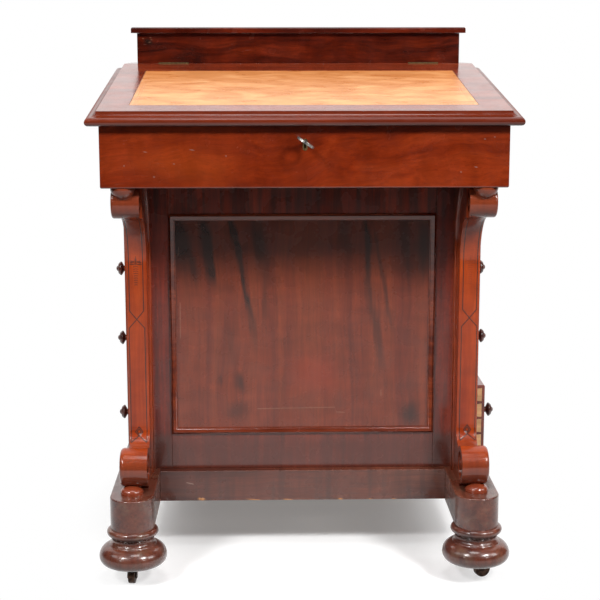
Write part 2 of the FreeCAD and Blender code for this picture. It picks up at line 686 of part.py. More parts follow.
def truss_outline():
    """Side view of a truss: the column face with a sweep into each roll."""
    top_roll, low_roll = ("roll_top_y", "roll_top_z"), ("roll_low_y", "roll_low_z")
    top_centre = sweep_centre(*top_roll, "roll_top_radius", "sweep_top", -1)
    low_centre = sweep_centre(*low_roll, "roll_low_radius", "sweep_low", 1)
    top_touch = roll_touch(top_roll, "roll_top_radius", "sweep_top", top_centre)
    low_touch = roll_touch(low_roll, "roll_low_radius", "sweep_low", low_centre)
    return [
        ("pedestal_front", "base_top"), ("pedestal_front", "case_floor"),
        ("roll_top_y", "case_floor"), top_touch, ("truss_face", top_centre, "-sweep_top"),
        ("truss_face", low_centre), (*low_touch, "-sweep_low"), low_roll,
        ("roll_low_y", "roll_low_z - roll_low_radius"),
        ("truss_heel", "roll_low_z - roll_low_radius"), ("truss_heel", "base_top")]


def add_roll(body, end):
    """One roll of a truss: a drum with a rounded outer rim and a sunk ring and an
    eye in each end."""
    inner, width = f"roll_{end}_inner", f"roll_{end}_width"
    centre, radius = (f"roll_{end}_y", f"roll_{end}_z"), f"roll_{end}_radius"
    sketch = new_sketch(body, "YZ", inner)
    draw_circle(sketch, *centre, radius)
    drum = add_pad(body, sketch, width)
    outer = number(f"{inner} + {width}")
    round_edges(body, drum, f"roll_{end}_round", lambda point: abs(point.x - outer) < 1e-3)
    for start, backwards in ((inner, True), (f"{inner} + {width}", False)):
        ring = new_sketch(body, "YZ", start)
        draw_circle(ring, *centre, f"{radius} * dish_share")
        draw_circle(ring, *centre, f"{radius} * eye_share")
        add_pocket(body, ring, "dish_depth", backwards=backwards)


def make_trusses():
    """Scroll trusses: a flat column that sweeps forward into a roll at each end, on a
    wider backing strip that sweeps forward under the writing box."""
    body = new_body("truss_right")
    web = new_sketch(body, "YZ", "truss_inner")
    draw_outline(web, truss_outline())
    column = add_pad(body, web, "truss_width")
    face, foot, head = number("truss_face"), number("roll_low_z"), number("roll_top_z")
    round_edges(body, column, "truss_round", lambda point: abs(point.y - face) < 1e-3
                and foot < point.z < head)
    strip = new_sketch(body, "YZ", "strip_inner")
    strip_face = "(pedestal_front - strip_thick)"
    sweep_foot = "(case_floor - sqrt(2 * strip_sweep * strip_reach - strip_reach^2))"
    draw_outline(strip, [
        ("pedestal_front", "base_top"), ("pedestal_front", "case_floor"),
        (f"{strip_face} - strip_reach", "case_floor"), (strip_face, sweep_foot, "-strip_sweep"),
        (strip_face, "base_top")])
    backing = add_pad(body, strip, "pedestal_half - strip_inner")
    inner, back = number("strip_inner"), number("pedestal_front")
    round_edges(body, backing, "strip_round", lambda point: abs(point.x - inner) < 1e-3
                and point.y < back - 1)
    add_roll(body, "top")
    add_roll(body, "low")
    add_button(body, "top", "case_floor", -1)
    add_button(body, "low", "base_top", 1)
    deliver(body, "truss_right")
    deliver(mirrored("truss_left", body), "truss_left")


def add_button(body, end, level, side):
    """A cushion-shaped button turned on an upright axis, hanging or standing."""
    across, radius, rise = (f"button_{end}_{what}" for what in ("x", "radius", "rise"))
    reach, lift = f"({radius} - button_round)", f"({rise} - button_wall)"
    crown = f"(({reach}^2 + {lift}^2 - button_round^2) / (2 * ({lift} - button_round)))"
    meet = f"({crown} / ({crown} - button_round))"
    sketch = new_sketch(body, "XZ", f"-button_{end}_y")
    tip = f"{level} + {side} * {rise}"
    draw_outline(sketch, [
        (across, level), (f"{across} + {radius}", level),
        (f"{across} + {radius}", f"{level} + {side} * button_wall"),
        (f"{across} + {reach} * {meet}",
         f"{level} + {side} * ({rise} - {crown} + {meet} * ({crown} - {lift}))",
         f"{side} * button_round"),
        (across, tip, f"{side} * {crown}")])
    axis = sketch.addGeometry(Part.LineSegment(
        FreeCAD.Vector(number(across), number(level), 0),
        FreeCAD.Vector(number(across), number(tip), 0)), True)
    sketch.setConstruction(axis, True)
    add_turning(body, sketch, "Axis0")


# ---------------------------------------------------------------- writing box

CASE_HALF = "(desk_width / 2 - case_inset)"
CASE_DEEP = "(desk_depth / 2 - case_inset)"


def make_case():
    """Front, sides, back and bottom of the well under the writing slope."""
    front, inner = f"-{CASE_DEEP}", f"-{CASE_DEEP} + case_board"
    body = new_body("case_front")
    section = new_sketch(body, "YZ")
    draw_outline(section, [(front, "case_floor"), (inner, "case_floor"),
                           (inner, slope_under(inner)), (front, slope_under(front))])
    pad = add_pad(body, section, f"2 * {CASE_HALF}", symmetric=True)
    floor, half, deep = number("case_floor"), number(CASE_HALF), number(CASE_DEEP)

    def on_rim(point):
        outside = abs(abs(point.x) - half) < 1e-3 or abs(abs(point.y) - deep) < 1e-3
        return outside and abs(point.z - floor) < 1e-3

    round_edges(body, pad, "case_round", on_rim)
    keyhole = new_sketch(body, "XZ", CASE_DEEP)
    draw_keyhole(keyhole)
    add_pocket(body, keyhole, "case_board")
    seat = new_sketch(body, "XZ", CASE_DEEP)
    draw_escutcheon(seat)
    add_pocket(body, seat, "escutcheon_sunk")
    deliver(body, "case_front")
    rear = f"{CASE_DEEP} - case_board"
    step = "hinge_line + running_gap"
    under_top = "top_height - top_thick"
    side = prism("case_side_right", "YZ", [
        (inner, "case_floor"), (rear, "case_floor"), (rear, under_top), (step, under_top),
        (step, slope_under("hinge_line")), (inner, slope_under(inner))],
        f"{CASE_HALF} - case_board", "case_board")
    round_edges(side, side.Tip, "case_round", on_rim)
    deliver(side, "case_side_right")
    deliver(mirrored("case_side_left", side), "case_side_left")
    back = prism("case_back", "YZ", [(rear, "case_floor"), (CASE_DEEP, "case_floor"),
                                     (CASE_DEEP, under_top), (rear, under_top)],
                 f"-{CASE_HALF}", f"2 * {CASE_HALF}")
    round_edges(back, back.Tip, "case_round", on_rim)
    deliver(back, "case_back")
    deliver(board("case_bottom", (f"-{CASE_HALF} + case_board", f"{CASE_HALF} - case_board"),
                  (inner, rear), ("case_floor", "case_floor + case_bottom_thick")), "case_bottom")


def draw_keyhole(sketch):
    """A round hole for the shank with a slot below it for the bit."""
    level, round_part, slot = "key_height", "keyhole_radius", "keyhole_slot"
    meet = f"{level} - sqrt({round_part}^2 - {slot}^2)"
    draw_outline(sketch, [
        (f"-{slot}", "keyhole_low"), (slot, "keyhole_low"), (slot, meet),
        (round_part, level, round_part), (f"-{round_part}", level, round_part),
        (f"-{slot}", meet, round_part)])


def draw_escutcheon(sketch):
    """A tall round-ended plate."""
    half = "escutcheon_half"
    low, high = f"escutcheon_low + {half}", f"escutcheon_high - {half}"
    draw_outline(sketch, [(f"-{half}", low), (half, low, half), (half, high),
                          (f"-{half}", high, half)])


def moulding(edge, top, outward):
    """The moulded edge from the flat of the top down to the underside: a quirk,
    a cove, a small step and a half-round nose. Outward is +1 or -1."""
    turn = -outward
    cove_end = f"{edge} + {outward} * cove_radius"
    step_end = f"{edge} + {outward} * (flat_inset - nose_radius)"
    shelf = f"{top} - quirk_drop - cove_radius"
    return [
        (edge, top), (edge, f"{top} - quirk_drop"),
        (cove_end, shelf, f"{-turn} * cove_radius"), (step_end, shelf),
        (step_end, f"{shelf} - 2 * nose_radius", f"{turn} * nose_radius")]


def side_moulding_waste(outward):
    """The waste outside the moulded side edge of a top board."""
    edge = f"{outward} * (desk_width / 2 - flat_inset)"
    beyond, low = f"{outward} * (desk_width / 2 + 5 * over_cut)", "-top_thick - over_cut"
    steps = moulding(edge, "0", outward)
    steps += [(steps[-1][0], low), (beyond, low), (beyond, "over_cut"), (edge, "over_cut")]
    return steps


def cut_side_mouldings(body):
    """Work the cove and nose along both side edges of a top board."""
    for outward in (1, -1):
        waste = new_sketch(body, "XZ")
        draw_outline(waste, side_moulding_waste(outward))
        add_pocket(body, waste, "3 * desk_depth", symmetric=True)


def make_fixed_top(recesses):
    """The level rear part of the top, moulded at its sides and back."""
    body = new_body("fixed_top_board")
    section = new_sketch(body, "YZ")
    edge = "desk_depth / 2 - flat_inset - hinge_line"
    steps = moulding(edge, "0", 1)
    steps += [("running_gap", "-top_thick"), ("running_gap", "0")]
    draw_outline(section, steps)
    add_pad(body, section, "desk_width + 10 * over_cut", symmetric=True)
    cut_side_mouldings(body)
    bind(body, "Placement.Base.y", "hinge_line")
    bind(body, "Placement.Base.z", "top_height")
    deliver(cut("fixed_top", body, recesses), "fixed_top")


def make_slope(recesses):
    """The hinged writing slope: moulded front and sides, sunk for its leather,
    its rear edge bevelled upright, let in for the hinges and the strike plate."""
    body = new_body("slope_board")
    section = new_sketch(body, "YZ")
    length = "((desk_depth / 2 + hinge_line) / cos(slope_angle))"
    edge = f"-{length} + flat_inset"
    steps = moulding(edge, "0", -1)
    steps += [("-running_gap - top_thick * tan(slope_angle)", "-top_thick"), ("-running_gap", "0")]
    draw_outline(section, steps)
    add_pad(body, section, "desk_width + 10 * over_cut", symmetric=True)
    cut_side_mouldings(body)
    front = f"(-{length} + leather_front)"
    sink = new_sketch(body, "XY")
    half = "leather_width / 2"
    leather = [(f"-{half}", front), (half, front), (half, f"{front} + leather_depth"),
               (f"-{half}", f"{front} + leather_depth")]
    draw_outline(sink, leather)
    add_pocket(body, sink, "leather_thick")
    skin = prism("slope_leather", "XY", leather, "-leather_thick", "leather_thick")
    for piece in (body, skin):
        bind(piece, "Placement.Base.y", "hinge_line")
        bind(piece, "Placement.Base.z", "top_height")
        piece.Placement.Rotation = FreeCAD.Rotation(FreeCAD.Vector(1, 0, 0), number("slope_angle"))
        bind(piece, "Placement.Rotation.Angle", "slope_angle")
    deliver(cut("writing_slope", body, recesses), "writing_slope")
    deliver(skin, "slope_leather")


# ---------------------------------------------------------------- hinges

def leaf_pieces(kind, part, side):
    """Leaf, tabs and barrels of one half of a butt hinge in the hinge's own frame:
    pin along X, leaves hanging down, side -1 for the moving half."""
    gap, thick = f"{kind}_hinge_gap / 2", f"{kind}_hinge_thick"
    barrel, length = f"{kind}_hinge_barrel", f"{kind}_hinge_length"
    inner, outer = f"{side} * ({gap})", f"{side} * ({gap} + {thick})"
    span = (inner, outer) if side > 0 else (outer, inner)
    clear = f"({barrel} + hinge_clear)"
    third = f"{length} / 3"
    if part == "moving":
        knuckles = [(f"-{third} / 2 + knuckle_gap", f"{third} / 2 - knuckle_gap")]
    else:
        knuckles = [(f"-{length} / 2", f"-{third} / 2"), (f"{third} / 2", f"{length} / 2")]
    name = f"{kind}_{part}"
    pieces = [board(f"{name}_leaf", (f"-{length} / 2", f"{length} / 2"), span,
                    (f"-{clear} - {kind}_hinge_leaf", f"-{clear}"))]
    for count, (left, right) in enumerate(knuckles):
        pieces.append(board(f"{name}_tab_{count}", (left, right), span, (f"-{clear}", "0")))
        pieces.append(rod(f"{name}_barrel_{count}", barrel, f"({right}) - ({left})",
                          (left, "0", "0"), "x"))
    return pieces


def make_hinge_patterns(kind):
    """The two halves of one butt hinge; the fixed half keeps the pin."""
    length = f"{kind}_hinge_length"
    pin = rod(f"{kind}_pin", f"{kind}_hinge_pin", length, (f"-{length} / 2", "0", "0"), "x")
    fixed = fused(f"{kind}_fixed_half", leaf_pieces(kind, "fixed", 1) + [pin])
    bore = rod(f"{kind}_bore", f"{kind}_hinge_pin + hinge_pin_play", length,
               (f"-{length} / 2", "0", "0"), "x")
    moving = cut(f"{kind}_moving_half",
                 fused(f"{kind}_moving_blank", leaf_pieces(kind, "moving", -1)), bore)
    return fixed, moving


def make_recess_pattern(kind, part, side):
    """The room that one hinge half needs in its board: for the leaf and the barrel."""
    gap, thick = f"{kind}_hinge_gap / 2", f"{kind}_hinge_thick"
    barrel, length = f"{kind}_hinge_barrel", f"{kind}_hinge_length"
    clear = f"({barrel} + hinge_clear)"
    across = (f"-{length} / 2 - hinge_room", f"{length} / 2 + hinge_room")
    deep, wide = f"({gap} + {thick})", f"({barrel} + hinge_clear)"
    leaf_span = ("0", deep) if side > 0 else (f"-{deep}", "0")
    barrel_span = ("0", wide) if side > 0 else (f"-{wide}", "0")
    return fused(f"{kind}_{part}_recess", [
        board(f"{kind}_{part}_leaf_room", across, leaf_span,
              (f"-{clear} - {kind}_hinge_leaf - hinge_room", "0")),
        board(f"{kind}_{part}_barrel_room", across, barrel_span, (f"-{clear}", "barrel_room"))])


def hinge_pair(name, pattern, kind, place, turn):
    """A left and a right copy of a pattern along a hinge line."""
    copies = []
    for side, sign in (("left", "-"), ("right", "")):
        x = f"{sign}{kind}_hinge_place"
        copies.append(placed(f"{name}_{side}", pattern, (x, *place), (1, 0, 0), turn))
    return copies


def make_hinges():
    """All hinge leaves; returns the recess tools for the boards they sit in."""
    places = {
        "slope": (("hinge_line", "top_height + slope_hinge_rise"), 0),
        "lid": (("box_back + lid_hinge_barrel + lid_hinge_back", "box_top + lid_gap / 2"), -90)}
    recesses = {}
    for kind, (place, turn) in places.items():
        fixed, moving = make_hinge_patterns(kind)
        for part, pattern, side in (("fixed", fixed, 1), ("moving", moving, -1)):
            label = f"{kind}_hinge_{part}"
            deliver(group(label, hinge_pair(label, pattern, kind, place, turn)), label)
            tool = make_recess_pattern(kind, part, side)
            recesses[kind, part] = hinge_pair(f"{label}_room", tool, kind, place, turn)
    return recesses


# ---------------------------------------------------------------- stationery box

def make_stationery_box(recesses):
    """Walls, partitions and lid of the box behind the slope."""
    floor, under_lid = "top_height", "box_top + lid_gap - lid_play"
    across = ("-box_half", "box_half")
    front_wall = board("box_front_wall", across, ("box_front", "box_front + box_wall"),
                       (floor, under_lid))
    rear_blank = board("box_rear_blank", across, ("box_back - box_wall", "box_back"),
                       (floor, "box_top"))
    rear_wall = cut("box_rear_wall", rear_blank, group("box_rear_rooms", recesses["lid", "fixed"]))
    inside = ("box_front + box_wall", "box_back - box_wall")
    right = board("box_right_wall", ("box_half - box_wall", "box_half"), inside, (floor, under_lid))
    left = board("box_left_wall", ("-box_half", "-box_half + box_wall"), inside, (floor, under_lid))
    deliver(group("stationery_box_walls", [front_wall, rear_wall, right, left]),
            "stationery_box_walls")
    height = (floor, "box_top - partition_drop")
    half = "partition_thick / 2"
    pieces = []
    for name, sign in (("left", "-"), ("right", "")):
        middle = f"{sign}partition_place"
        pieces.append(board(f"partition_{name}", (f"{middle} - {half}", f"{middle} + {half}"),
                            inside, height))
    tray = f"{inside[0]} + pen_tray_depth"
    pieces.append(board("partition_pen_tray", (f"-partition_place + {half}", f"partition_place - {half}"),
                        (tray, f"{tray} + partition_thick"), height))
    deliver(group("stationery_partitions", pieces), "stationery_partitions")
    make_lid(recesses["lid", "moving"])


def make_lid(rooms):
    """The lid: a board with softened edges that overhangs the front and sides."""
    body = new_body("box_lid_board")
    sketch = new_sketch(body, "XY", "box_top + lid_gap")
    half, front = "(box_half + lid_overhang)", "box_front - lid_overhang"
    draw_outline(sketch, [(f"-{half}", front), (half, front), (half, "box_back"),
                          (f"-{half}", "box_back")])
    pad = add_pad(body, sketch, "lid_thick")
    top, rear = number("box_top + lid_gap + lid_thick"), number("box_back")
    wide = number(half)
    round_edges(body, pad, "lid_round", lambda point: abs(point.z - top) < 1e-3
                and (point.y < rear - 1 or abs(abs(point.x) - wide) < 1e-3))
    deliver(cut("box_lid", body, group("box_lid_rooms", rooms)), "box_lid")


# ---------------------------------------------------------------- lock and key

LOCK_FACE = f"(-{CASE_DEEP} + case_board)"


def make_lock():
    """Lock case with its chamber and bolt way, bolt, strike plate and escutcheon."""
    depth = (LOCK_FACE, f"{LOCK_FACE} + lock_thick")
    case = board("lock_block", ("-lock_half", "lock_half"), depth, ("lock_low", "lock_high"))
    inside = "lock_thick - lock_back"
    chamber = rod("lock_chamber", "chamber_radius", inside, ("0", LOCK_FACE, "key_height"), "y")
    middle = f"({LOCK_FACE} + ({inside}) / 2)"
    way = board("bolt_way", ("-bolt_half - bolt_play", "bolt_half + bolt_play"),
                (f"{middle} - bolt_thick / 2 - bolt_play", f"{middle} + bolt_thick / 2 + bolt_play"),
                ("key_height", "lock_high + over_cut"))
    deliver(cut("lock_case", case, fused("lock_room", [chamber, way])), "lock_case")
    deliver(board("lock_bolt", ("-bolt_half", "bolt_half"),
                  (f"{middle} - bolt_thick / 2", f"{middle} + bolt_thick / 2"),
                  ("bolt_low", "lock_high")), "lock_bolt")
    body = new_body("escutcheon")
    outline = new_sketch(body, "XZ", f"{CASE_DEEP} - escutcheon_sunk")
    draw_escutcheon(outline)
    add_pad(body, outline, "escutcheon_thick")
    hole = new_sketch(body, "XZ", f"{CASE_DEEP} + over_cut")
    draw_keyhole(hole)
    add_pocket(body, hole, "2 * over_cut + escutcheon_thick")
    deliver(body, "escutcheon")
    return middle


def make_strike(middle):
    """The slotted strike plate and the room for it and for the bolt in the slope."""
    centre = f"(({middle} - hinge_line) / cos(slope_angle) - top_thick * tan(slope_angle))"
    low = "-top_thick"
    spans = (("-strike_half", "strike_half"),
             (f"{centre} - strike_depth / 2", f"{centre} + strike_depth / 2"))
    slot = (("-mortise_half", "mortise_half"),
            (f"{centre} - mortise_width / 2", f"{centre} + mortise_width / 2"))
    plate = board("strike_blank", *spans, (low, f"{low} + strike_thick"))
    hole = board("strike_slot", *slot, (f"{low} - over_cut", f"{low} + strike_thick + over_cut"))
    seat = board("strike_seat", *spans, (f"{low} - over_cut", f"{low} + strike_thick"))
    mortise = board("bolt_mortise", *slot, (f"{low} - over_cut", f"{low} + mortise_depth"))
    turn = number("slope_angle")
    place = ("0", "hinge_line", "top_height")
    strike = placed("strike_copy", cut("strike_pattern", plate, hole), place, (1, 0, 0), turn)
    deliver(group("strike_plate", [strike]), "strike_plate")
    return placed("strike_room", fused("strike_tool", [seat, mortise]), place, (1, 0, 0), turn)


def make_key(middle):
    """The key: ring bow, round shank and a bit that turns inside the chamber."""
    tip = f"(-{CASE_DEEP} - bow_standoff)"
    bow_centre = f"({tip} - bow_radius + over_cut)"
    body = new_body("key_bow")
    ring = new_sketch(body, "XY", "-bow_thick / 2")
    draw_circle(ring, "0", bow_centre, "bow_radius")
    draw_circle(ring, "0", bow_centre, "bow_hole")
    add_pad(body, ring, "bow_thick")
    shank = rod("key_shank_rod", "key_shank", f"{middle} + bit_width / 2 - ({tip})",
                ("0", tip, "0"), "y")
    bit = board("key_bit", ("0", "bit_reach"), (f"{middle} - bit_width / 2", f"{middle} + bit_width / 2"),
                ("-bit_thick / 2", "bit_thick / 2"))
    pattern = fused("key_pattern", [body, shank, bit])
    turn = number("key_tilt")
    copy = placed("key_copy", pattern, ("0", "0", "key_height"), (0, 1, 0), turn)
    deliver(group("key", [copy]), "key")


# ---------------------------------------------------------------- assembly

def build_desk():
    make_runner()
    make_base_frame()
    make_bun_feet()
    make_castor_cups()
    make_castors()
    make_pedestal_front()
    make_panel_bead()
    make_right_frame()
    make_drawer_bearers()
    make_pedestal_shell()
    knob = make_knob_pattern()
    make_left_side(knob)
    for place in DRAWERS:
        make_drawer(place, knob)
    make_trusses()
    make_case()
    recesses = make_hinges()
    make_fixed_top(group("fixed_top_rooms", recesses["slope", "fixed"]))
    middle = make_lock()
    strike_room = make_strike(middle)
    make_slope(group("slope_rooms", recesses["slope", "moving"] + [strike_room]))
    make_stationery_box(recesses)
    make_key(middle)
    doc.recompute()


def check_document():
    """Stop if any object failed or any sub-part is empty or broken."""
    faults = []
    for thing in doc.Objects:
        if any(word in thing.State for word in ("Invalid", "Error")):
            faults.append(f"{thing.Name}: {thing.State}")
    for piece in subparts:
        if piece.Shape.isNull() or not piece.Shape.isValid() or not piece.Shape.Solids:
            faults.append(f"{piece.Label}: shape is empty or not valid")
    if faults:
        raise SystemExit("\n".join(faults))


def write_parts():
    os.makedirs("parts", exist_ok=True)
    for piece in subparts:
        piece.Shape.exportStep(os.path.join("parts", piece.Label + ".step"))
        print(f"{piece.Label}: {len(piece.Shape.Solids)} solids, {piece.Shape.Volume / 1000:.1f} cm3")


build_desk()
check_document()
write_parts()
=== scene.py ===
import json
import math
import random

import bmesh
import bpy
from bpy.props import FloatProperty, FloatVectorProperty, PointerProperty
from mathutils import Matrix, Vector

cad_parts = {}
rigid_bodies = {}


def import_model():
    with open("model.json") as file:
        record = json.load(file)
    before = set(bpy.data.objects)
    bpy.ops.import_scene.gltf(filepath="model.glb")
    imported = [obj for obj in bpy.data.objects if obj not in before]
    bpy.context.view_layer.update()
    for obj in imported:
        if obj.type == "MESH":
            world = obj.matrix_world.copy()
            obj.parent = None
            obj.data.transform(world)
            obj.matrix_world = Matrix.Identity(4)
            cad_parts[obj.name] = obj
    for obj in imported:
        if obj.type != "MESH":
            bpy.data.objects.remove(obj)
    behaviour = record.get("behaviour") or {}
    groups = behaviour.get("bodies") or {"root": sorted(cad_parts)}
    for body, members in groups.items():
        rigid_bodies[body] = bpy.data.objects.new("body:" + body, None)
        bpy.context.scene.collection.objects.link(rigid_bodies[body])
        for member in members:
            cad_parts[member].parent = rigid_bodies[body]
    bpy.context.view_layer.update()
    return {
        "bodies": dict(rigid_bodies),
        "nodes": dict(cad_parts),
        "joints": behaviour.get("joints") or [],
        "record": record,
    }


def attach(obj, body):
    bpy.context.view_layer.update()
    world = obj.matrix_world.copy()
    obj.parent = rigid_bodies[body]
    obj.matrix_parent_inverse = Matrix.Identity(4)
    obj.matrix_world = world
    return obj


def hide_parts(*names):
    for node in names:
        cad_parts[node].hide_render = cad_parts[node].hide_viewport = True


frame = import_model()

bl_info = {
    "name": "Davenport Desk",
    "version": (1, 0, 0),
    "blender": (4, 5, 0),
    "location": "View3D > Sidebar > Davenport",
    "description": "Polished mahogany, leather, brass and a plain stage for a davenport desk",
    "category": "Object",
}

NODES = frame["nodes"]
RECORD = frame["record"]
BODY_OF = {node: body for body, members in RECORD["behaviour"]["bodies"].items()
           for node in members}

WELD = 1e-6                 # vertices nearer than this are one
FLAT = math.radians(0.3)    # faces that turn less than this are one
SHARP = math.radians(40)    # edges that turn more than this are eased
CREASE = math.radians(34)   # edges that turn more than this are shaded sharp
DRAWER_ARRIS = 0.0003
LEATHER_EDGE = 0.0005
TOOLED_GAP = 0.003          # between the two tooled lines of the leather
BEVEL = {"offset_type": "OFFSET", "affect": "EDGES", "segments": 2, "profile": 0.5, "material": -1}

POLISH_IOR = 1.5
COAT_ROUGHNESS = 0.1
PALE_MARK = (0.42, 0.30, 0.25)      # polish that is scratched or worn
DUST = (0.16, 0.10, 0.065)


def colour(name, description, default):
    return FloatVectorProperty(name=name, description=description, default=default,
                               subtype="COLOR", size=3, min=0, max=1)


def length(name, description, default):
    return FloatProperty(name=name, description=description, default=default,
                         unit="LENGTH", min=0, precision=4)


class DavenportColours(bpy.types.PropertyGroup):
    """Colours of the desk's finishes."""
    red: colour("Mahogany", "Main colour of the case and the drawer fronts", (0.185, 0.019, 0.003))
    glow: colour("Mahogany glow", "Lightest figure in the mahogany", (0.27, 0.035, 0.007))
    dark: colour("Mahogany shade", "Darker bands of the figure", (0.09, 0.008, 0.0015))
    top: colour("Desk top", "Polished wood of the moulded top", (0.24, 0.034, 0.010))
    box: colour("Stationery box", "Darker wood of the stationery box", (0.062, 0.006, 0.0016))
    frame: colour("Pedestal", "Browner wood of the pedestal's frame", (0.27, 0.031, 0.010))
    panel: colour("Panel", "Red ground of the figured panel", (0.175, 0.029, 0.010))
    vein: colour("Vein", "Near-black veins of the panel", (0.026, 0.009, 0.006))
    truss: colour("Trusses", "Orange-red wood of the scroll trusses", (0.36, 0.047, 0.006))
    turned: colour("Turned feet", "Browner wood of the base and bun feet", (0.115, 0.03, 0.017))
    pale: colour("Secondary wood", "Bare wood of drawer sides and linings", (0.88, 0.50, 0.24))
    leather: colour("Leather", "Writing leather", (0.68, 0.27, 0.085))
    brass: colour("Brass", "Aged brass of the hinges and the lock", (0.30, 0.20, 0.09))
    castor: colour("Castors", "Dark old metal of the castors", (0.06, 0.035, 0.024))
    steel: colour("Key steel", "Old steel of the key", (0.42, 0.40, 0.37))
    knob: colour("Knobs", "Dark polish of the turned knobs", (0.085, 0.018, 0.010))


class DavenportSizes(bpy.types.PropertyGroup):
    """Sizes of the details that finish the solids."""
    arris: length("Arris", "Width of the softened edge on boards", 0.0007)
    line: length("Incised line", "Width of the lines cut in the trusses", 0.0011)
    tooling: length("Tooling", "Distance of the tooled line from the leather's edge", 0.007)


class DavenportView(bpy.types.PropertyGroup):
    """Where the camera stands and how it looks."""
    place: FloatVectorProperty(name="Place", description="Camera position", size=3,
                               default=(-0.0523, -2.244, 0.784), subtype="TRANSLATION",
                               unit="LENGTH")
    pitch: FloatProperty(name="Pitch", description="Angle the camera looks down",
                         default=math.radians(10.38), subtype="ANGLE")
    yaw: FloatProperty(name="Yaw", description="Angle the camera looks to the right",
                       default=math.radians(1.307), subtype="ANGLE")
    roll: FloatProperty(name="Roll", description="Angle the camera leans",
                        default=0.0006, subtype="ANGLE")
    lens: FloatProperty(name="Lens", description="Focal length on a 36 mm sensor", default=84.54)


# ---------------------------------------------------------------- materials

class Finish:
    """A material or world being made: adds nodes and joins their sockets."""

    def __init__(self, name, kind="materials"):
        self.block = getattr(bpy.data, kind).new(name)
        self.block.use_nodes = True
        self.tree = self.block.node_tree
        self.tree.nodes.clear()
        self.dulled = None      # a mask of the places where marks have taken the shine off

    def put(self, socket, value):
        if isinstance(value, bpy.types.NodeSocket):
            self.tree.links.new(value, socket)
        elif socket.type == "RGBA" and len(value) == 3:
            socket.default_value = (*value, 1)
        else:
            socket.default_value = value

    def node(self, kind, inputs=None, **settings):
        node = self.tree.nodes.new("ShaderNode" + kind)
        for key, value in settings.items():
            setattr(node, key, value)
        for socket, value in (inputs or {}).items():
            self.put(node.inputs[socket], value)
        return node

    def grain(self):
        return self.node("Attribute", attribute_name="grain").outputs["Vector"]

    def place(self):
        return self.node("TexCoord").outputs["Object"]

    def mapped(self, vector, scale, turn=(0, 0, 0)):
        return self.node("Mapping", {"Vector": vector, "Scale": scale,
                                     "Rotation": turn}).outputs["Vector"]

    def noise(self, vector, scale=1.0, detail=3.0, rough=0.55, distort=0.0):
        return self.node("TexNoise", {"Vector": vector, "Scale": scale, "Detail": detail,
                                      "Roughness": rough, "Distortion": distort})

    def math(self, operation, first, second=0.0, third=0.0, clamp=False):
        node = self.node("Math", operation=operation, use_clamp=clamp)
        for socket, value in zip(node.inputs, (first, second, third)):
            self.put(socket, value)
        return node.outputs[0]

    def vector(self, operation, first, second, answer="Vector"):
        """A sum on vectors; its answer is a Vector or, for a product or distance, a Value."""
        other = "Scale" if operation == "SCALE" else 1
        node = self.node("VectorMath", {0: first, other: second}, operation=operation)
        return node.outputs[answer]

    def pushed(self, vector, noise, reach):
        """A place pushed about by the colours of a noise."""
        push = self.vector("SUBTRACT", noise.outputs["Color"], (0.5, 0.5, 0.5))
        return self.vector("ADD", vector, self.vector("SCALE", push, reach))

    def smooth(self, value, low, high, bottom=0.0, top=1.0):
        return self.node("MapRange", {"Value": value, "From Min": low, "From Max": high,
                                      "To Min": bottom, "To Max": top},
                         interpolation_type="SMOOTHSTEP").outputs["Result"]

    def ramp(self, value, stops):
        node = self.node("ValToRGB", {"Fac": value})
        marks = node.color_ramp.elements
        while len(marks) < len(stops):
            marks.new(0.5)
        for mark, (spot, shade) in zip(marks, stops):
            mark.position = spot
            mark.color = (*shade, 1) if hasattr(shade, "__len__") else (shade, shade, shade, 1)
        return node.outputs["Color"]

    def blend(self, amount, first, second, kind="MIX"):
        node = self.node("Mix", data_type="RGBA", blend_type=kind, clamp_factor=True)
        for spot, value in ((0, amount), (6, first), (7, second)):
            self.put(node.inputs[spot], value)
        return node.outputs[2]

    def axis(self, vector, name):
        return self.node("SeparateXYZ", {"Vector": vector}).outputs[name]

    def before(self, where, depth):
        """1 in front of a depth and 0 behind it, as a mask."""
        return self.math("LESS_THAN", self.axis(where, "Y"), depth)

    def bump(self, height, strength, distance):
        return self.node("Bump", {"Height": height, "Strength": strength,
                                  "Distance": distance}).outputs["Normal"]

    def emission(self, strength):
        return self.node("Emission", {"Color": (1, 1, 1), "Strength": strength}).outputs["Emission"]

    def mixed(self, share, first, second):
        return self.node("MixShader", {0: share, 1: first, 2: second}).outputs["Shader"]

    def spot(self, where, centre, size, turn=0.0, low=0.3, strength=1.0):
        """A soft oval on a front face, as a mask: centre and half sizes across and up."""
        near = self.node("Mapping", {"Vector": where, "Location": (centre[0], 0, centre[1]),
                                     "Rotation": (0, turn, 0), "Scale": (size[0], 30, size[1])},
                         vector_type="TEXTURE").outputs["Vector"]
        reach = self.node("VectorMath", {0: near}, operation="LENGTH").outputs["Value"]
        return self.smooth(reach, low, 1.0, strength, 0.0)

    def stroke(self, where, start, end):
        """Distance on a front face from a straight stroke between two points."""
        where = self.vector("MULTIPLY", where, (1, 0, 1))
        start, end = Vector((start[0], 0, start[1])), Vector((end[0], 0, end[1]))
        run = end - start
        away = self.vector("SUBTRACT", where, start)
        along = self.vector("DOT_PRODUCT", away, run / run.length_squared, "Value")
        along = self.math("MULTIPLY", along, 1.0, clamp=True)
        foot = self.vector("SCALE", run, along)
        return self.vector("DISTANCE", away, foot, "Value")

    def most(self, values, operation="MAXIMUM"):
        """The largest, the smallest or the sum of several values."""
        first, *others = values
        for value in others:
            first = self.math(operation, first, value)
        return first

    def surface(self, **inputs):
        sockets = {key.replace("_", " "): value for key, value in inputs.items()}
        shader = self.node("BsdfPrincipled", sockets)
        self.node("OutputMaterial", {"Surface": shader.outputs["BSDF"]})
        return self.block


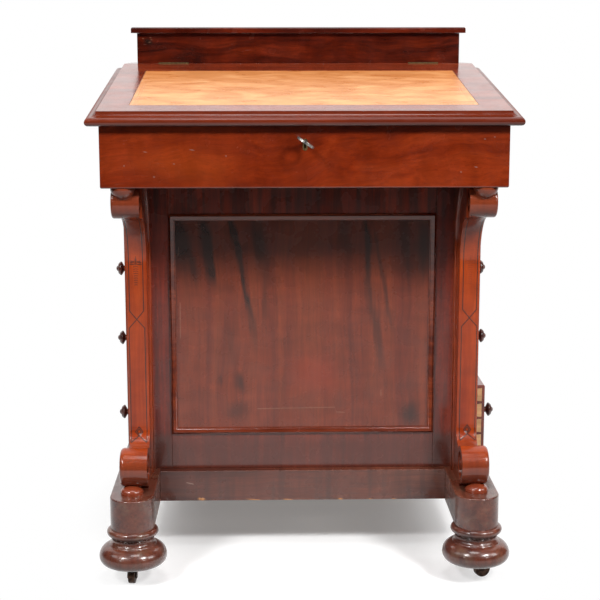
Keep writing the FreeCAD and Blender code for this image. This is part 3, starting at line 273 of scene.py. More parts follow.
def tint(name):
    """One of the desk's colours, as the nodes take it."""
    return tuple(getattr(bpy.context.scene.davenport_colours, name))


def dimmed(colour, share):
    return tuple(value * share for value in colour)


def shades(colour, light=1.45, dark=0.5):
    """A lighter, a middle and a darker tone of one wood."""
    warm = (light, light * 1.15, light * 1.1)
    return (tuple(min(value * share, 1) for value, share in zip(colour, warm)), tuple(colour),
            tuple(value * share for value, share in zip(colour, (dark, dark * 0.85, dark))))


def wood(name, tones, band, bend, swirl, marks=None, rough=0.2, coat=0.5, haze=0.04, shine=0.5,
         lines=0.3, grime=0.0, lean=0.0, wear=0.7):
    """French-polished mahogany: figure, fibres, pores, mottle, fine scratches, worn arrises.

    band is how fine the figure is along and across the grain, and bend and swirl are how it
    wanders. marks adds what is seen on one piece only. haze is how uneven the shine is, lines
    how strong the fibres are, and wear how pale the arrises are.
    """
    light, middle, dark = tones
    made = Finish(name)
    grain = made.grain()
    grain = made.pushed(grain, made.noise(grain, 6, 3), bend)
    grain = made.mapped(grain, (1, 1, 1), (0, lean, lean))
    figure = made.noise(made.mapped(grain, band), 1, 4, 0.55, swirl).outputs["Fac"]
    shade = made.ramp(figure, [(0.3, dark), (0.5, middle), (0.72, light)])
    fibre = made.noise(made.mapped(grain, (7, 230, 230)), 1, 4, 0.7).outputs["Fac"]
    streaks = made.ramp(fibre, [(0.34, 1 - lines), (0.5, 0.98), (0.68, 1 + lines)])
    shade = made.blend(1.0, shade, streaks, "MULTIPLY")
    mottle = made.noise(made.mapped(grain, (55, 22, 22)), 1, 2).outputs["Fac"]
    shade = made.blend(1.0, shade, made.ramp(mottle, [(0.3, 0.86), (0.7, 1.1)]), "MULTIPLY")
    pores = made.noise(made.mapped(grain, (90, 1300, 1300)), 1, 2, 0.5).outputs["Fac"]
    pores = made.smooth(pores, 0.56, 0.72)
    shade = made.blend(made.math("MULTIPLY", pores, 0.5), shade, dark)
    scuffs = made.noise(made.mapped(grain, (18, 700, 700), (0.3, 0.2, 0.5)), 1, 2).outputs["Fac"]
    patch = made.noise(grain, 9, 2).outputs["Fac"]
    scuffs = made.math("MULTIPLY", made.smooth(scuffs, 0.7, 0.76), made.smooth(patch, 0.54, 0.64))
    shade = made.blend(made.math("MULTIPLY", scuffs, 0.2), shade, PALE_MARK)
    worn = made.node("Attribute", attribute_name="arris").outputs["Fac"]
    chips = made.noise(made.place(), 90, 3, 0.7).outputs["Fac"]
    worn = made.math("MULTIPLY", worn, made.smooth(chips, 0.4, 0.65, wear * 0.36, wear))
    shade = made.blend(worn, shade, made.blend(0.25, light, PALE_MARK))
    if grime:
        dust = made.noise(made.place(), 45, 5, 0.7).outputs["Fac"]
        shade = made.blend(made.smooth(dust, 0.48, 0.72, 0, grime), shade, DUST)
    height = made.math("MULTIPLY", pores, -1)
    if marks:
        shade, height = marks(made, shade, height)
    if made.dulled:
        coat = made.math("MULTIPLY_ADD", made.dulled, -0.9 * coat, coat)
    smudge = made.noise(grain, 28, 3).outputs["Fac"]
    polish = made.smooth(smudge, 0.3, 0.7, rough - 0.03, rough + 0.04 + haze)
    return made.surface(Base_Color=shade, Roughness=polish, Coat_Weight=coat,
                        Coat_Roughness=COAT_ROUGHNESS, IOR=POLISH_IOR, Coat_IOR=POLISH_IOR,
                        Specular_IOR_Level=shine, Normal=made.bump(height, 0.3, 0.0001))


# marks stay in front of these depths, on the faces that show them
CASE_FACE = -0.271
BOX_FACE = 0.1425
TRUSS_FACE = -0.175
RAIL_FACE = -0.142
# the moulded rim of the top, aside and ahead: where it starts and where it is full
RIM_ASIDE = (0.2895, 0.2915)
RIM_AHEAD = (-0.2735, -0.2755)
# the lower roll of a truss, which carries no lines: its depth and its highest point
ROLL_FACE = -0.2195
ROLL_TOP = 0.3
# pale chips at one upper corner of the stationery box: across, up
CHIPS = ((-0.2460, 0.7913), (-0.2444, 0.7876), (-0.2477, 0.7837), (-0.2585, 0.7897))

# small pale bruises of the case front: across, up, half length, half height
BRUISES = (
    (0.2398, 0.6112, 0.0035, 0.0012), (0.2189, 0.6043, 0.0018, 0.0014),
    (0.2516, 0.6503, 0.0022, 0.0011), (0.2655, 0.6531, 0.0016, 0.0013),
    (-0.1577, 0.6359, 0.0052, 0.0011), (-0.2231, 0.6333, 0.0042, 0.001),
    (-0.1831, 0.6165, 0.0024, 0.001), (-0.2113, 0.5984, 0.0017, 0.0019),
    (-0.2527, 0.6139, 0.0016, 0.0016), (-0.1105, 0.6275, 0.0018, 0.0015),
)


def bruises(made, shade, height):
    """Dents in the polish of the case front, and a lighter patch of its figure."""
    where = made.place()
    mask = made.most([made.spot(where, (across, up), (wide, tall), 0.15, 0.2, 0.8)
                      for across, up, wide, tall in BRUISES])
    mask = made.math("MULTIPLY", mask, 0.7)
    front = made.before(where, CASE_FACE)
    glow = made.spot(where, (-0.165, 0.612), (0.11, 0.038), 0.1, 0.0, 0.3)
    shade = made.blend(made.math("MULTIPLY", glow, front), shade, (0.32, 0.052, 0.006))
    mask = made.math("MULTIPLY", mask, front)
    return made.blend(mask, shade, (0.27, 0.17, 0.14)), made.math("SUBTRACT", height, mask)


def chipped(made, shade, height):
    """A dark patch with pale chips at one upper corner of the stationery box."""
    where = made.place()
    front = made.before(where, BOX_FACE)
    dark = made.spot(where, (-0.2503, 0.7848), (0.011, 0.007), 0.4, 0.2, 0.9)
    shade = made.blend(made.math("MULTIPLY", dark, front), shade, (0.012, 0.006, 0.004))
    pale = made.most([made.spot(where, spot, (0.0022, 0.0012), 0.2, 0.3, 0.6) for spot in CHIPS])
    return made.blend(made.math("MULTIPLY", pale, front), shade, (0.20, 0.10, 0.06)), height


def moulded(made, shade, height):
    """A duller shine along the moulded edges of the top, and a darker tone painted there in place
    of the dark that their polish reflects.
    """
    where = made.place()
    aside = made.smooth(made.math("ABSOLUTE", made.axis(where, "X")), *RIM_ASIDE)
    ahead = made.smooth(made.axis(where, "Y"), *RIM_AHEAD)
    rim = made.math("MAXIMUM", aside, ahead)
    made.dulled = rim
    # painted shade: the rim's colour darkened to stand for the dark reflection in its polish
    shade = made.blend(rim, shade, made.blend(0.75, shade, (0.10, 0.013, 0.004)))
    return shade, made.math("MULTIPLY", height, made.math("MULTIPLY_ADD", rim, -0.9, 1.0))


# dark flames of the panel: across, up, half width, half length, lean, darkness
FLAMES = (
    (-0.0975, 0.462, 0.0062, 0.085, 0.20, 1.0), (-0.080, 0.375, 0.0055, 0.07, 0.10, 0.55),
    (-0.0655, 0.485, 0.0135, 0.060, 0.18, 0.6), (-0.058, 0.40, 0.006, 0.05, 0.05, 0.4),
    (-0.146, 0.480, 0.011, 0.052, 0.16, 0.95), (-0.136, 0.435, 0.010, 0.024, 0.1, 0.6),
    (-0.186, 0.487, 0.018, 0.048, 0.10, 0.85), (-0.166, 0.445, 0.008, 0.035, 0.15, 0.6),
    (0.0985, 0.470, 0.0055, 0.085, 0.07, 0.8), (0.114, 0.345, 0.0075, 0.085, 0.15, 0.55),
    (0.122, 0.430, 0.0045, 0.10, 0.20, 0.55), (0.157, 0.480, 0.012, 0.06, 0.10, 0.5),
    (0.183, 0.475, 0.013, 0.055, 0.05, 0.7), (0.168, 0.215, 0.018, 0.024, 0.0, 0.8),
    (-0.096, 0.266, 0.012, 0.018, 0.3, 0.75), (-0.128, 0.271, 0.006, 0.012, 0.1, 0.5),
    (-0.100, 0.222, 0.02, 0.022, 0.2, 0.5), (0.06, 0.50, 0.012, 0.03, 0.05, 0.4),
    (-0.11, 0.33, 0.008, 0.05, 0.1, 0.3),
)
# thin pale scratches of the panel: start and end
SCRATCHES = (
    ((-0.1868, 0.393), (-0.1872, 0.338)), ((-0.1878, 0.478), (-0.1888, 0.466)),
    ((-0.0695, 0.2255), (0.0493, 0.2272)), ((0.0524, 0.2196), (0.0648, 0.2188)),
    ((0.121, 0.2545), (0.1213, 0.245)), ((-0.163, 0.5125), (-0.1545, 0.5128)),
    ((0.160, 0.514), (0.1685, 0.5143)),
)


def flames(made, shade, height):
    """The panel's dark flames and light patch over its red ground, a painted shade that darkens it
    toward the top, and its scratches.
    """
    where = made.place()
    loose = made.pushed(where, made.noise(made.mapped(where, (60, 1, 9)), 1, 4, 0.6), 0.022)
    mask = made.most([made.spot(loose, (across, up), (wide * 1.3, tall * 1.3), -lean, 0.1, share)
                      for across, up, wide, tall, lean, share in FLAMES], "ADD")
    # painted shade: the panel darkened toward its top, under the writing box
    upper = made.smooth(made.axis(where, "Z"), 0.38, 0.52, 0.0, 0.3)
    mask = made.math("MINIMUM", made.math("ADD", mask, upper), 0.93)
    glow = made.spot(where, (0.018, 0.28), (0.06, 0.05), 0.3, 0.1, 0.6)
    shade = made.blend(glow, shade, (0.26, 0.03, 0.009))
    shade = made.blend(mask, shade, tint("vein"))
    near = made.most([made.stroke(where, start, end) for start, end in SCRATCHES], "MINIMUM")
    cut = made.smooth(near, 0.0002, 0.0008, 0.28, 0)
    return made.blend(cut, shade, (0.5, 0.3, 0.2)), made.math("SUBTRACT", height, cut)


# incised lines of a truss, measured from its middle line and the floor; each is also mirrored
MIDDLE = 0.2483
RIBBON = (
    ((0.0104, 0.540), (0.0104, 0.3905)), ((0.0104, 0.3905), (0.0, 0.3777)),
    ((0.0, 0.3777), (0.0116, 0.3645)), ((0.0116, 0.3645), (0.0118, 0.1915)),
    ((0.0112, 0.191), (0.0, 0.199)), ((0.0, 0.199), (0.0056, 0.2048)),
    ((0.0056, 0.2048), (0.0, 0.2124)), ((0.0, 0.2018), (0.003, 0.205)),
    ((0.003, 0.205), (0.0, 0.209)),
)
LEAF = (
    ((0.0, 0.4725), (0.0, 0.4612)), ((0.0, 0.4612), (0.0068, 0.4662)),
    ((0.0, 0.4600), (0.0088, 0.4606)),
    *(((0.0, 0.4575 - 0.0034 * step), (0.0036 - 0.0002 * step, 0.4568 - 0.0034 * step))
      for step in range(9)),
)
# lobes of the leaf above the lines: middle, half sizes, turn
LOBES = (((0.0, 0.4655), (0.0022, 0.0062), 0.0), ((0.0052, 0.4640), (0.0045, 0.0022), 0.35),
         ((0.0055, 0.4606), (0.0048, 0.0014), 0.0))


def incised(made, shade, height):
    """Lines cut in the face of each truss, and the leaf above them, fainter on the right."""
    where = made.place()
    across, up = made.axis(where, "X"), made.axis(where, "Z")
    aside = made.math("ABSOLUTE", made.math("SUBTRACT", made.math("ABSOLUTE", across), MIDDLE))
    folded = made.node("CombineXYZ", {"X": aside, "Y": 0.0, "Z": up}).outputs["Vector"]
    width = bpy.context.scene.davenport_sizes.line
    near = made.most([made.stroke(folded, start, end) for start, end in RIBBON], "MINIMUM")
    cut = made.smooth(near, width * 0.4, width * 0.9, 1, 0)
    close = made.most([made.stroke(folded, start, end) for start, end in LEAF], "MINIMUM")
    leaf = made.smooth(close, width * 0.3, width * 0.8, 0.7, 0)
    lobes = [made.spot(folded, middle, size, turn, 0.5, 0.8) for middle, size, turn in LOBES]
    leaf = made.math("MAXIMUM", leaf, made.most(lobes))
    on_left = made.smooth(across, -0.01, 0.01, 1.0, 0.35)
    off_roll = made.math("MAXIMUM", made.math("GREATER_THAN", made.axis(where, "Y"), ROLL_FACE),
                         made.math("GREATER_THAN", up, ROLL_TOP))
    front = made.math("MULTIPLY", made.before(where, TRUSS_FACE), off_roll)
    ends = made.math("MAXIMUM", made.smooth(up, 0.50, 0.56, 0, 0.8),
                     made.smooth(up, 0.17, 0.21, 0.8, 0))
    shade = made.blend(ends, shade, made.blend(0.2, tint("turned"), shade))
    made.dulled = made.smooth(up, 0.17, 0.21, 0.0, 0.85)
    cut = made.math("MAXIMUM", cut, made.math("MULTIPLY", leaf, on_left))
    cut = made.math("MULTIPLY", cut, front)
    shade = made.blend(made.math("MULTIPLY", cut, 0.9), shade, (0.03, 0.018, 0.015))
    return shade, made.math("SUBTRACT", height, made.math("MULTIPLY", cut, 5))


def frame_flames_and_painted_shade(made, shade, height):
    """The pedestal's frame with upright flames, nearly black at its top rail from painted shade
    under the writing box, and darker and greyer toward the bottom.
    """
    where = made.place()
    flame = made.noise(made.mapped(where, (85, 1, 4)), 1, 4, 0.6).outputs["Fac"]
    # painted shade: the top rail darkened where the writing box overhangs it, broken up by the
    # flames
    upper = made.smooth(made.axis(where, "Z"), 0.49, 0.545, 0.0, 0.75)
    mask = made.math("MULTIPLY", made.smooth(flame, 0.42, 0.6, 0.35, 1.0), upper)
    faint = made.smooth(flame, 0.5, 0.66, 0.0, 0.45)
    # darker toward the bottom, and greyer below the lower rail's top
    lower = made.smooth(made.axis(where, "Z"), 0.165, 0.19, 0.4, 0.0)
    mask = made.most([mask, faint, lower])
    low = made.smooth(made.axis(where, "Z"), 0.178, 0.192, 0.65, 0.0)
    shade = made.blend(low, shade, (0.085, 0.03, 0.022))
    return made.blend(mask, shade, tint("vein")), height


# chips along the lower edge of the front rail: middle, half length and half height
SPLINTERS = (
    ((-0.1575, 0.0855), (0.0078, 0.0034)), ((-0.0725, 0.0835), (0.020, 0.0012)),
    ((-0.022, 0.0835), (0.012, 0.0012)), ((0.0585, 0.0838), (0.0048, 0.0022)),
    ((0.104, 0.0835), (0.005, 0.0012)), ((0.142, 0.0835), (0.005, 0.0011)),
)


def splintered(made, shade, height):
    """Fresh chips at the front rail's lower edge, its dark flames and an old scratch."""
    where = made.place()
    rough = made.noise(where, 300, 3, 0.7).outputs["Fac"]
    spots = [made.spot(where, middle, size, 0.1, 0.3) for middle, size in SPLINTERS]
    chip = made.math("MULTIPLY", made.most(spots), made.smooth(rough, 0.35, 0.5))
    flame = made.noise(made.mapped(where, (80, 1, 6)), 1, 4, 0.6).outputs["Fac"]
    shade = made.blend(made.smooth(flame, 0.46, 0.66, 0.0, 0.5), shade, (0.05, 0.018, 0.013))
    front = made.before(where, RAIL_FACE)
    chip = made.math("MULTIPLY", chip, front)
    near = made.stroke(where, (-0.180, 0.112), (-0.170, 0.1095))
    cut = made.math("MULTIPLY", made.smooth(near, 0.0003, 0.0011, 0.6, 0), front)
    shade = made.blend(chip, shade, (0.62, 0.27, 0.09))
    height = made.math("SUBTRACT", height, made.math("MULTIPLY", chip, 3))
    return made.blend(cut, shade, PALE_MARK), height


def bare_wood(name, light, dark):
    """Unpolished lining wood with plain straight grain."""
    made = Finish(name)
    grain = made.grain()
    figure = made.noise(made.mapped(grain, (2, 60, 60)), 1, 4, 0.6, 0.3).outputs["Fac"]
    shade = made.ramp(figure, [(0.35, dark), (0.62, light)])
    fibre = made.noise(made.mapped(grain, (30, 900, 900)), 1, 3).outputs["Fac"]
    shade = made.blend(made.smooth(fibre, 0.5, 0.75, 0, 0.4), shade, dark)
    stain = made.noise(grain, 11, 3).outputs["Fac"]
    shade = made.blend(made.smooth(stain, 0.5, 0.75, 0, 0.4), shade, dark)
    return made.surface(Base_Color=shade, Roughness=made.smooth(stain, 0.3, 0.7, 0.55, 0.75),
                        Normal=made.bump(fibre, 0.3, 0.0002))


def writing_leather(name, tan, tooling, half_width, half_depth):
    """Tan skiver: fine pebble, uneven dye, a painted sheen that pales it toward the front, handling
    marks and two blind-tooled lines.
    """
    made = Finish(name)
    skin = made.grain()
    cloud = made.noise(made.mapped(skin, (0.8, 1.8, 1)), 20, 4, 0.55, 0.6).outputs["Fac"]
    deep = tuple(value * share for value, share in zip(tan, (0.88, 0.74, 0.6)))
    pale = tuple(min(value * share, 1) for value, share in zip(tan, (1.2, 1.6, 2.1)))
    # uneven dye, with a painted sheen that turns the leather paler toward the front
    worn = made.math("MULTIPLY_ADD", made.axis(skin, "Y"), -0.8, cloud)
    shade = made.ramp(worn, [(0.22, deep), (0.48, tan), (0.74, pale)])
    fleck = made.noise(made.mapped(skin, (0.35, 1, 1)), 240, 3, 0.6).outputs["Fac"]
    shade = made.blend(made.smooth(fleck, 0.45, 0.75, 0, 0.3), shade, deep)
    across = made.math("SUBTRACT", half_width, made.math("ABSOLUTE", made.axis(skin, "X")))
    along = made.math("SUBTRACT", half_depth, made.math("ABSOLUTE", made.axis(skin, "Y")))
    rim = made.math("MINIMUM", across, along)
    away = [made.math("ABSOLUTE", made.math("SUBTRACT", rim, line)) for line in tooling]
    cut = made.most([made.smooth(distance, 0.0004, 0.0009, 1, 0) for distance in away])
    shade = made.blend(made.math("MULTIPLY", cut, 0.45), shade, deep)
    shade = made.blend(made.smooth(rim, 0.0, 0.0022, 0.8, 0), shade, (0.10, 0.03, 0.012))
    pebble = made.node("TexVoronoi", {"Vector": skin, "Scale": 900.0}).outputs["Distance"]
    height = made.math("SUBTRACT", pebble, made.math("MULTIPLY", cut, 4))
    return made.surface(Base_Color=shade, Roughness=made.smooth(cloud, 0.3, 0.7, 0.26, 0.38),
                        IOR=1.45, Normal=made.bump(height, 0.25, 0.00012))


def aged_metal(name, metal, rough, tarnish, stain):
    """Handled metal: brighter where rubbed, dull and dark where it is not."""
    made = Finish(name)
    where = made.place()
    cloud = made.noise(where, 160, 4, 0.65).outputs["Fac"]
    shade = made.blend(made.smooth(cloud, 0.42, 0.68, 0, tarnish), metal, stain)
    fine = made.noise(where, 1500, 2).outputs["Fac"]
    polish = made.smooth(cloud, 0.35, 0.7, rough, rough + 0.25)
    return made.surface(Base_Color=shade, Metallic=made.smooth(cloud, 0.4, 0.8, 1, 0.75),
                        Roughness=polish, Normal=made.bump(fine, 0.15, 0.0001))


def make_finishes():
    """All the finishes, by name; most are named for the material slot that they serve."""
    case = (tint("glow"), tint("red"), tint("dark"))
    top, frame, turned = (shades(tint(name)) for name in ("top", "frame", "turned"))
    brass, castor, steel, pale = (tint(name) for name in ("brass", "castor", "steel", "pale"))
    return {
        "mahogany_case": wood(
            "case_mahogany", case, (3.0, 24, 24), 0.035, 0.9, shine=0.35, lines=0.2),
        "case_front": wood(
            "case_front_mahogany", case, (2.6, 20, 20), 0.06, 1.2, bruises,
            shine=0.35, lines=0.17, lean=0.12),
        "desk_top": wood(
            "top_mahogany", top, (2.5, 30, 30), 0.02, 0.5, moulded,
            rough=0.18, coat=0.6, wear=0.3),
        "stationery_box": wood(
            "box_mahogany", shades(tint("box"), 2.0, 0.35), (5.0, 26, 26), 0.04, 1.2, chipped,
            coat=0.3, shine=0.3),
        "mahogany_base": wood(
            "base_mahogany", turned, (2.0, 28, 28), 0.015, 0.5, rough=0.27, haze=0.06),
        "pedestal_front": wood(
            "pedestal_mahogany", frame, (2.0, 28, 28), 0.015, 0.5, frame_flames_and_painted_shade, rough=0.25),
        "front_rail": wood(
            "rail_mahogany", turned, (2.0, 24, 24), 0.02, 0.5, splintered,
            rough=0.27, haze=0.06),
        "mahogany_figured": wood(
            "panel_mahogany", shades(tint("panel"), 1.2, 0.68), (1.2, 34, 34), 0.02, 0.6, flames,
            rough=0.25, lines=0.22),
        "mahogany_moulding": wood(
            "moulding_mahogany", shades(tint("panel")), (3, 60, 60), 0.01, 0.3,
            coat=0.25, wear=0.2),
        "mahogany_truss": wood(
            "truss_mahogany", shades(tint("truss"), 1.2, 0.72), (2.4, 26, 26), 0.02, 0.5, incised,
            rough=0.18, haze=0.0, shine=0.4, lines=0.15),
        "mahogany_fronts": wood("front_mahogany", case, (3.0, 18, 18), 0.04, 1.0),
        "mahogany_turned": wood(
            "turned_mahogany", turned, (3, 30, 30), 0.02, 0.4, rough=0.27, haze=0.06, grime=0.5),
        "knob_wood": wood(
            "knob_polish", shades(tint("knob"), 1.8, 0.4), (8, 90, 90), 0.004, 0.4,
            rough=0.3, haze=0.05),
        "secondary_wood": bare_wood("lining_wood", pale, dimmed(pale, 0.6)),
        "brass": aged_metal("aged_brass", brass, 0.3, 0.8, dimmed(brass, 0.25)),
        "dull_brass": aged_metal(
            "dull_brass", dimmed(brass, 0.32), 0.5, 0.8, dimmed(brass, 0.15)),
        "castor_wheel": aged_metal("worn_castors", castor, 0.4, 0.9, dimmed(castor, 0.3)),
        "steel": aged_metal("old_steel", steel, 0.25, 0.7, dimmed(steel, 0.3)),
    }


def finish_for(name):
    """A finish by its name; the finishes are made when the first one is asked for."""
    store = bpy.types.Scene.davenport_finishes
    if name not in store:
        store.update(make_finishes())
    return store[name]


# ---------------------------------------------------------------- shapes

def joined(items, neighbours):
    """Part items into the groups that hang together, in the same order on every run."""
    waiting, found = dict.fromkeys(items), []
    while waiting:
        ends = [waiting.popitem()[0]]
        group = list(ends)
        while ends:
            for near in neighbours(ends.pop()):
                if near in waiting:
                    del waiting[near]
                    ends.append(near)
                    group.append(near)
        found.append(group)
    return found


def part_solids(bm):
    """Part boards that only touch, so that each is closed by itself."""
    def beyond(face):
        return (near for edge in face.edges if len(edge.link_faces) == 2
                for near in edge.link_faces)

    old = list(bm.verts)
    for solid in joined(bm.faces, beyond):
        bmesh.ops.duplicate(bm, geom=solid)
    bmesh.ops.delete(bm, geom=old, context="VERTS")


def islands(bm):
    """The separate solids of a mesh, as lists of vertices, in the order of their low corners."""
    found = joined(bm.verts, lambda vert: (near for edge in vert.link_edges for near in edge.verts))
    return sorted(found, key=lambda island: tuple(min(v.co[i] for v in island) for i in range(3)))


def lay_grain(bm, name, along):
    """Give every solid its own length of grain, which the finishes read."""
    layer = bm.verts.layers.float_vector.new("grain")
    for place, island in enumerate(islands(bm)):
        chance = random.Random(f"{name}{place}")
        spans = [max(v.co[i] for v in island) - min(v.co[i] for v in island) for i in range(3)]
        first = "XYZ".index(along) if along else spans.index(max(spans))
        order = [first] + [i for i in range(3) if i != first]
        offset = Vector([chance.uniform(-3, 3) for _ in range(3)])
        for vert in island:
            vert[layer] = Vector([vert.co[i] for i in order]) + offset


def welded_copy(node):
    """A solid's mesh with its triangles joined at their corners and its boards kept apart."""
    bm = bmesh.new()
    bm.from_mesh(NODES[node].data)
    bmesh.ops.remove_doubles(bm, verts=bm.verts, dist=WELD)
    part_solids(bm)
    return bm


def softened(node, slot_name, along=None, arris=None, flat=True, finish=None):
    """A copy of a solid with its sharp arrises eased, which stands for the plain one."""
    bm = welded_copy(node)
    if flat:
        bmesh.ops.dissolve_limit(bm, angle_limit=FLAT, verts=bm.verts, edges=bm.edges)
    mark = bm.faces.layers.float.new("arris")
    arris = bpy.context.scene.davenport_sizes.arris if arris is None else arris
    if arris:
        sharp = [edge for edge in bm.edges if len(edge.link_faces) == 2
                 and edge.calc_face_angle(0) > SHARP and edge.calc_length() > arris * 3]
        eased = bmesh.ops.bevel(bm, geom=sharp, offset=arris, clamp_overlap=True, **BEVEL)
        for face in eased["faces"]:
            face[mark] = 1
    lay_grain(bm, node, along)
    piece_from(bm, node + "_finished", node, slot_name, finish)


def object_from(bm, name):
    """Turn a mesh being made into an object of the scene."""
    mesh = bpy.data.meshes.new(name)
    bm.to_mesh(mesh)
    bm.free()
    made = bpy.data.objects.new(name, mesh)
    bpy.context.scene.collection.objects.link(made)
    return made


def piece_from(bm, name, node, slot_name, finish=None):
    """Turn a mesh into a smooth-shaded piece that rides with a solid and stands for it."""
    piece = object_from(bm, name)
    piece.data.shade_smooth()
    piece.data.set_sharp_from_angle(angle=CREASE)
    piece.data.materials.append(finish_for(finish or slot_name))
    normals = piece.modifiers.new("even_faces", "WEIGHTED_NORMAL")
    normals.keep_sharp = True
    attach(piece, BODY_OF[node])
    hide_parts(node)


def dress(slot_name, *nodes):
    """Give solids that keep their own mesh the finish of their slot."""
    for node in nodes:
        materials = NODES[node].data.materials
        for place in range(len(materials)):
            materials[place] = finish_for(slot_name)


# ---------------------------------------------------------------- pieces

class DAVENPORT_OT_writing_box(bpy.types.Operator):
    """Polish the case, the fixed top and the sloping lid"""
    bl_idname = "davenport.writing_box"
    bl_label = "Writing Box"

    def execute(self, context):
        softened("case_front", "mahogany_case", "X", finish="case_front")
        for node in ("case_side_left", "case_side_right"):
            softened(node, "mahogany_case", "Y")
        softened("case_back", "mahogany_case", "X")
        softened("case_bottom", "secondary_wood", "X")
        for node in ("fixed_top", "writing_slope"):
            softened(node, "mahogany_case", "X", finish="desk_top")
        return {"FINISHED"}


class DAVENPORT_OT_leather(bpy.types.Operator):
    """Lay the tooled leather in the sloping lid"""
    bl_idname = "davenport.leather"
    bl_label = "Writing Leather"

    def execute(self, context):
        bm = welded_copy("slope_leather")
        bmesh.ops.dissolve_limit(bm, angle_limit=FLAT, verts=bm.verts, edges=bm.edges)
        top = max(bm.faces, key=lambda face: face.normal.z * face.calc_area())
        middle, normal = top.calc_center_median(), top.normal.copy()
        turn = Matrix((Vector((1, 0, 0)), normal.cross(Vector((1, 0, 0))), normal))
        bmesh.ops.bevel(bm, geom=list(bm.edges), offset=LEATHER_EDGE, **BEVEL)
        layer = bm.verts.layers.float_vector.new("grain")
        for vert in bm.verts:
            vert[layer] = turn @ (vert.co - middle)
        half_width = max(vert[layer].x for vert in bm.verts)
        half_depth = max(vert[layer].y for vert in bm.verts)
        tooling = context.scene.davenport_sizes.tooling
        bpy.types.Scene.davenport_finishes["leather"] = writing_leather(
            "tan_leather", tint("leather"), (tooling, tooling + TOOLED_GAP), half_width, half_depth)
        piece_from(bm, "writing_leather", "slope_leather", "leather")
        return {"FINISHED"}


class DAVENPORT_OT_stationery_box(bpy.types.Operator):
    """Polish the stationery box, its partitions and its lid"""
    bl_idname = "davenport.stationery_box"
    bl_label = "Stationery Box"

    def execute(self, context):
        softened("stationery_box_walls", "mahogany_case", finish="stationery_box")
        softened("stationery_partitions", "secondary_wood")
        softened("box_lid", "mahogany_case", "X", finish="stationery_box")
        return {"FINISHED"}


class DAVENPORT_OT_pedestal(bpy.types.Operator):
    """Polish the pedestal's frames, panel, moulding and closed side"""
    bl_idname = "davenport.pedestal"
    bl_label = "Pedestal"

    def execute(self, context):
        softened("pedestal_front_frame", "mahogany_base", "Z", finish="pedestal_front")
        softened("front_panel", "mahogany_figured", "Z")
        softened("panel_moulding", "mahogany_moulding", arris=0)
        for node in ("right_face_frame", "pedestal_back", "pedestal_left_side"):
            softened(node, "mahogany_base", "Z" if node == "pedestal_back" else None)
        for node in ("drawer_bearers", "pedestal_top"):
            softened(node, "secondary_wood")
        softened("dummy_drawer_fronts", "mahogany_fronts", "Y")
        return {"FINISHED"}


class DAVENPORT_OT_trusses(bpy.types.Operator):
    """Polish the scroll trusses and cut their lines"""
    bl_idname = "davenport.trusses"
    bl_label = "Scroll Trusses"

    def execute(self, context):
        for node in ("truss_left", "truss_right"):
            softened(node, "mahogany_truss", "Z", arris=0)
        return {"FINISHED"}


class DAVENPORT_OT_drawers(bpy.types.Operator):
    """Polish the drawer fronts and clean the drawer boxes"""
    bl_idname = "davenport.drawers"
    bl_label = "Drawers"

    def execute(self, context):
        for number in range(1, 5):
            softened(f"drawer_{number}_front", "mahogany_fronts", "Y", arris=DRAWER_ARRIS)
            softened(f"drawer_{number}_box", "secondary_wood", arris=DRAWER_ARRIS)
        return {"FINISHED"}


class DAVENPORT_OT_knobs(bpy.types.Operator):
    """Polish the turned knobs on both sides"""
    bl_idname = "davenport.knobs"
    bl_label = "Knobs"

    def execute(self, context):
        for node in ("dummy_knobs", *(f"drawer_{number}_knobs" for number in range(1, 5))):
            softened(node, "knob_wood", "X", arris=0, flat=False)
        return {"FINISHED"}


class DAVENPORT_OT_base(bpy.types.Operator):
    """Polish the sledge runners, rails and bun feet"""
    bl_idname = "davenport.base"
    bl_label = "Base"

    def execute(self, context):
        for node in ("runner_left", "runner_right"):
            softened(node, "mahogany_base", "Y", arris=0, finish="mahogany_turned")
        for node in ("plinth_rail_front", "plinth_rail_back"):
            softened(node, "mahogany_base", "X", finish="front_rail")
        softened("base_board", "secondary_wood", "X")
        softened("bun_feet", "mahogany_turned", "Z", arris=0, flat=False)
        return {"FINISHED"}


class DAVENPORT_OT_castors(bpy.types.Operator):
    """Tarnish the castors"""
    bl_idname = "davenport.castors"
    bl_label = "Castors"

    def execute(self, context):
        dress("castor_wheel", *(node for node in NODES if node.startswith("castor")))
        return {"FINISHED"}


class DAVENPORT_OT_fittings(bpy.types.Operator):
    """Tarnish the hinges, lock, strike, escutcheon and key"""
    bl_idname = "davenport.fittings"
    bl_label = "Brass and Key"

    def execute(self, context):
        dress("dull_brass", "slope_hinge_fixed", "slope_hinge_moving", "lid_hinge_fixed",
              "lid_hinge_moving")
        dress("brass", "lock_case", "lock_bolt", "escutcheon", "strike_plate")
        dress("steel", "key")
        return {"FINISHED"}


# ---------------------------------------------------------------- stage

# the floor's paleness as it is seen and as it lights the desk, its own light, and the distance
# over which it turns white
FLOOR_SEEN = 0.88
FLOOR_HIDDEN = 0.14
FLOOR_LIFT = 0.21
FLOOR_FADE = (0.33, 0.64)
# dark boards that only the polish sees: where they set in ahead and aside, and how far back
BOARDS_AHEAD = (2.1, 2.8)
BOARDS_ASIDE = (1.2, 1.8)
BOARDS_BACK = -0.6
# the world's share of light on the desk; what is seen of it is plain white
WORLD_LIGHT = 0.04
# dark cloths round the camera: middle, turn in degrees about an axis, half sizes
CLOTHS = (
    ((0, -3.3, 1.9), 90, "X", (3.2, 1.9, 1, 1)), ((0, -1.5, 3.8), 0, "X", (3.2, 1.8, 1, 1)),
    ((-3.2, -0.6, 1.9), 90, "Y", (1.9, 2.7, 1, 1)), ((3.2, -0.6, 1.9), 90, "Y", (1.9, 2.7, 1, 1)),
)
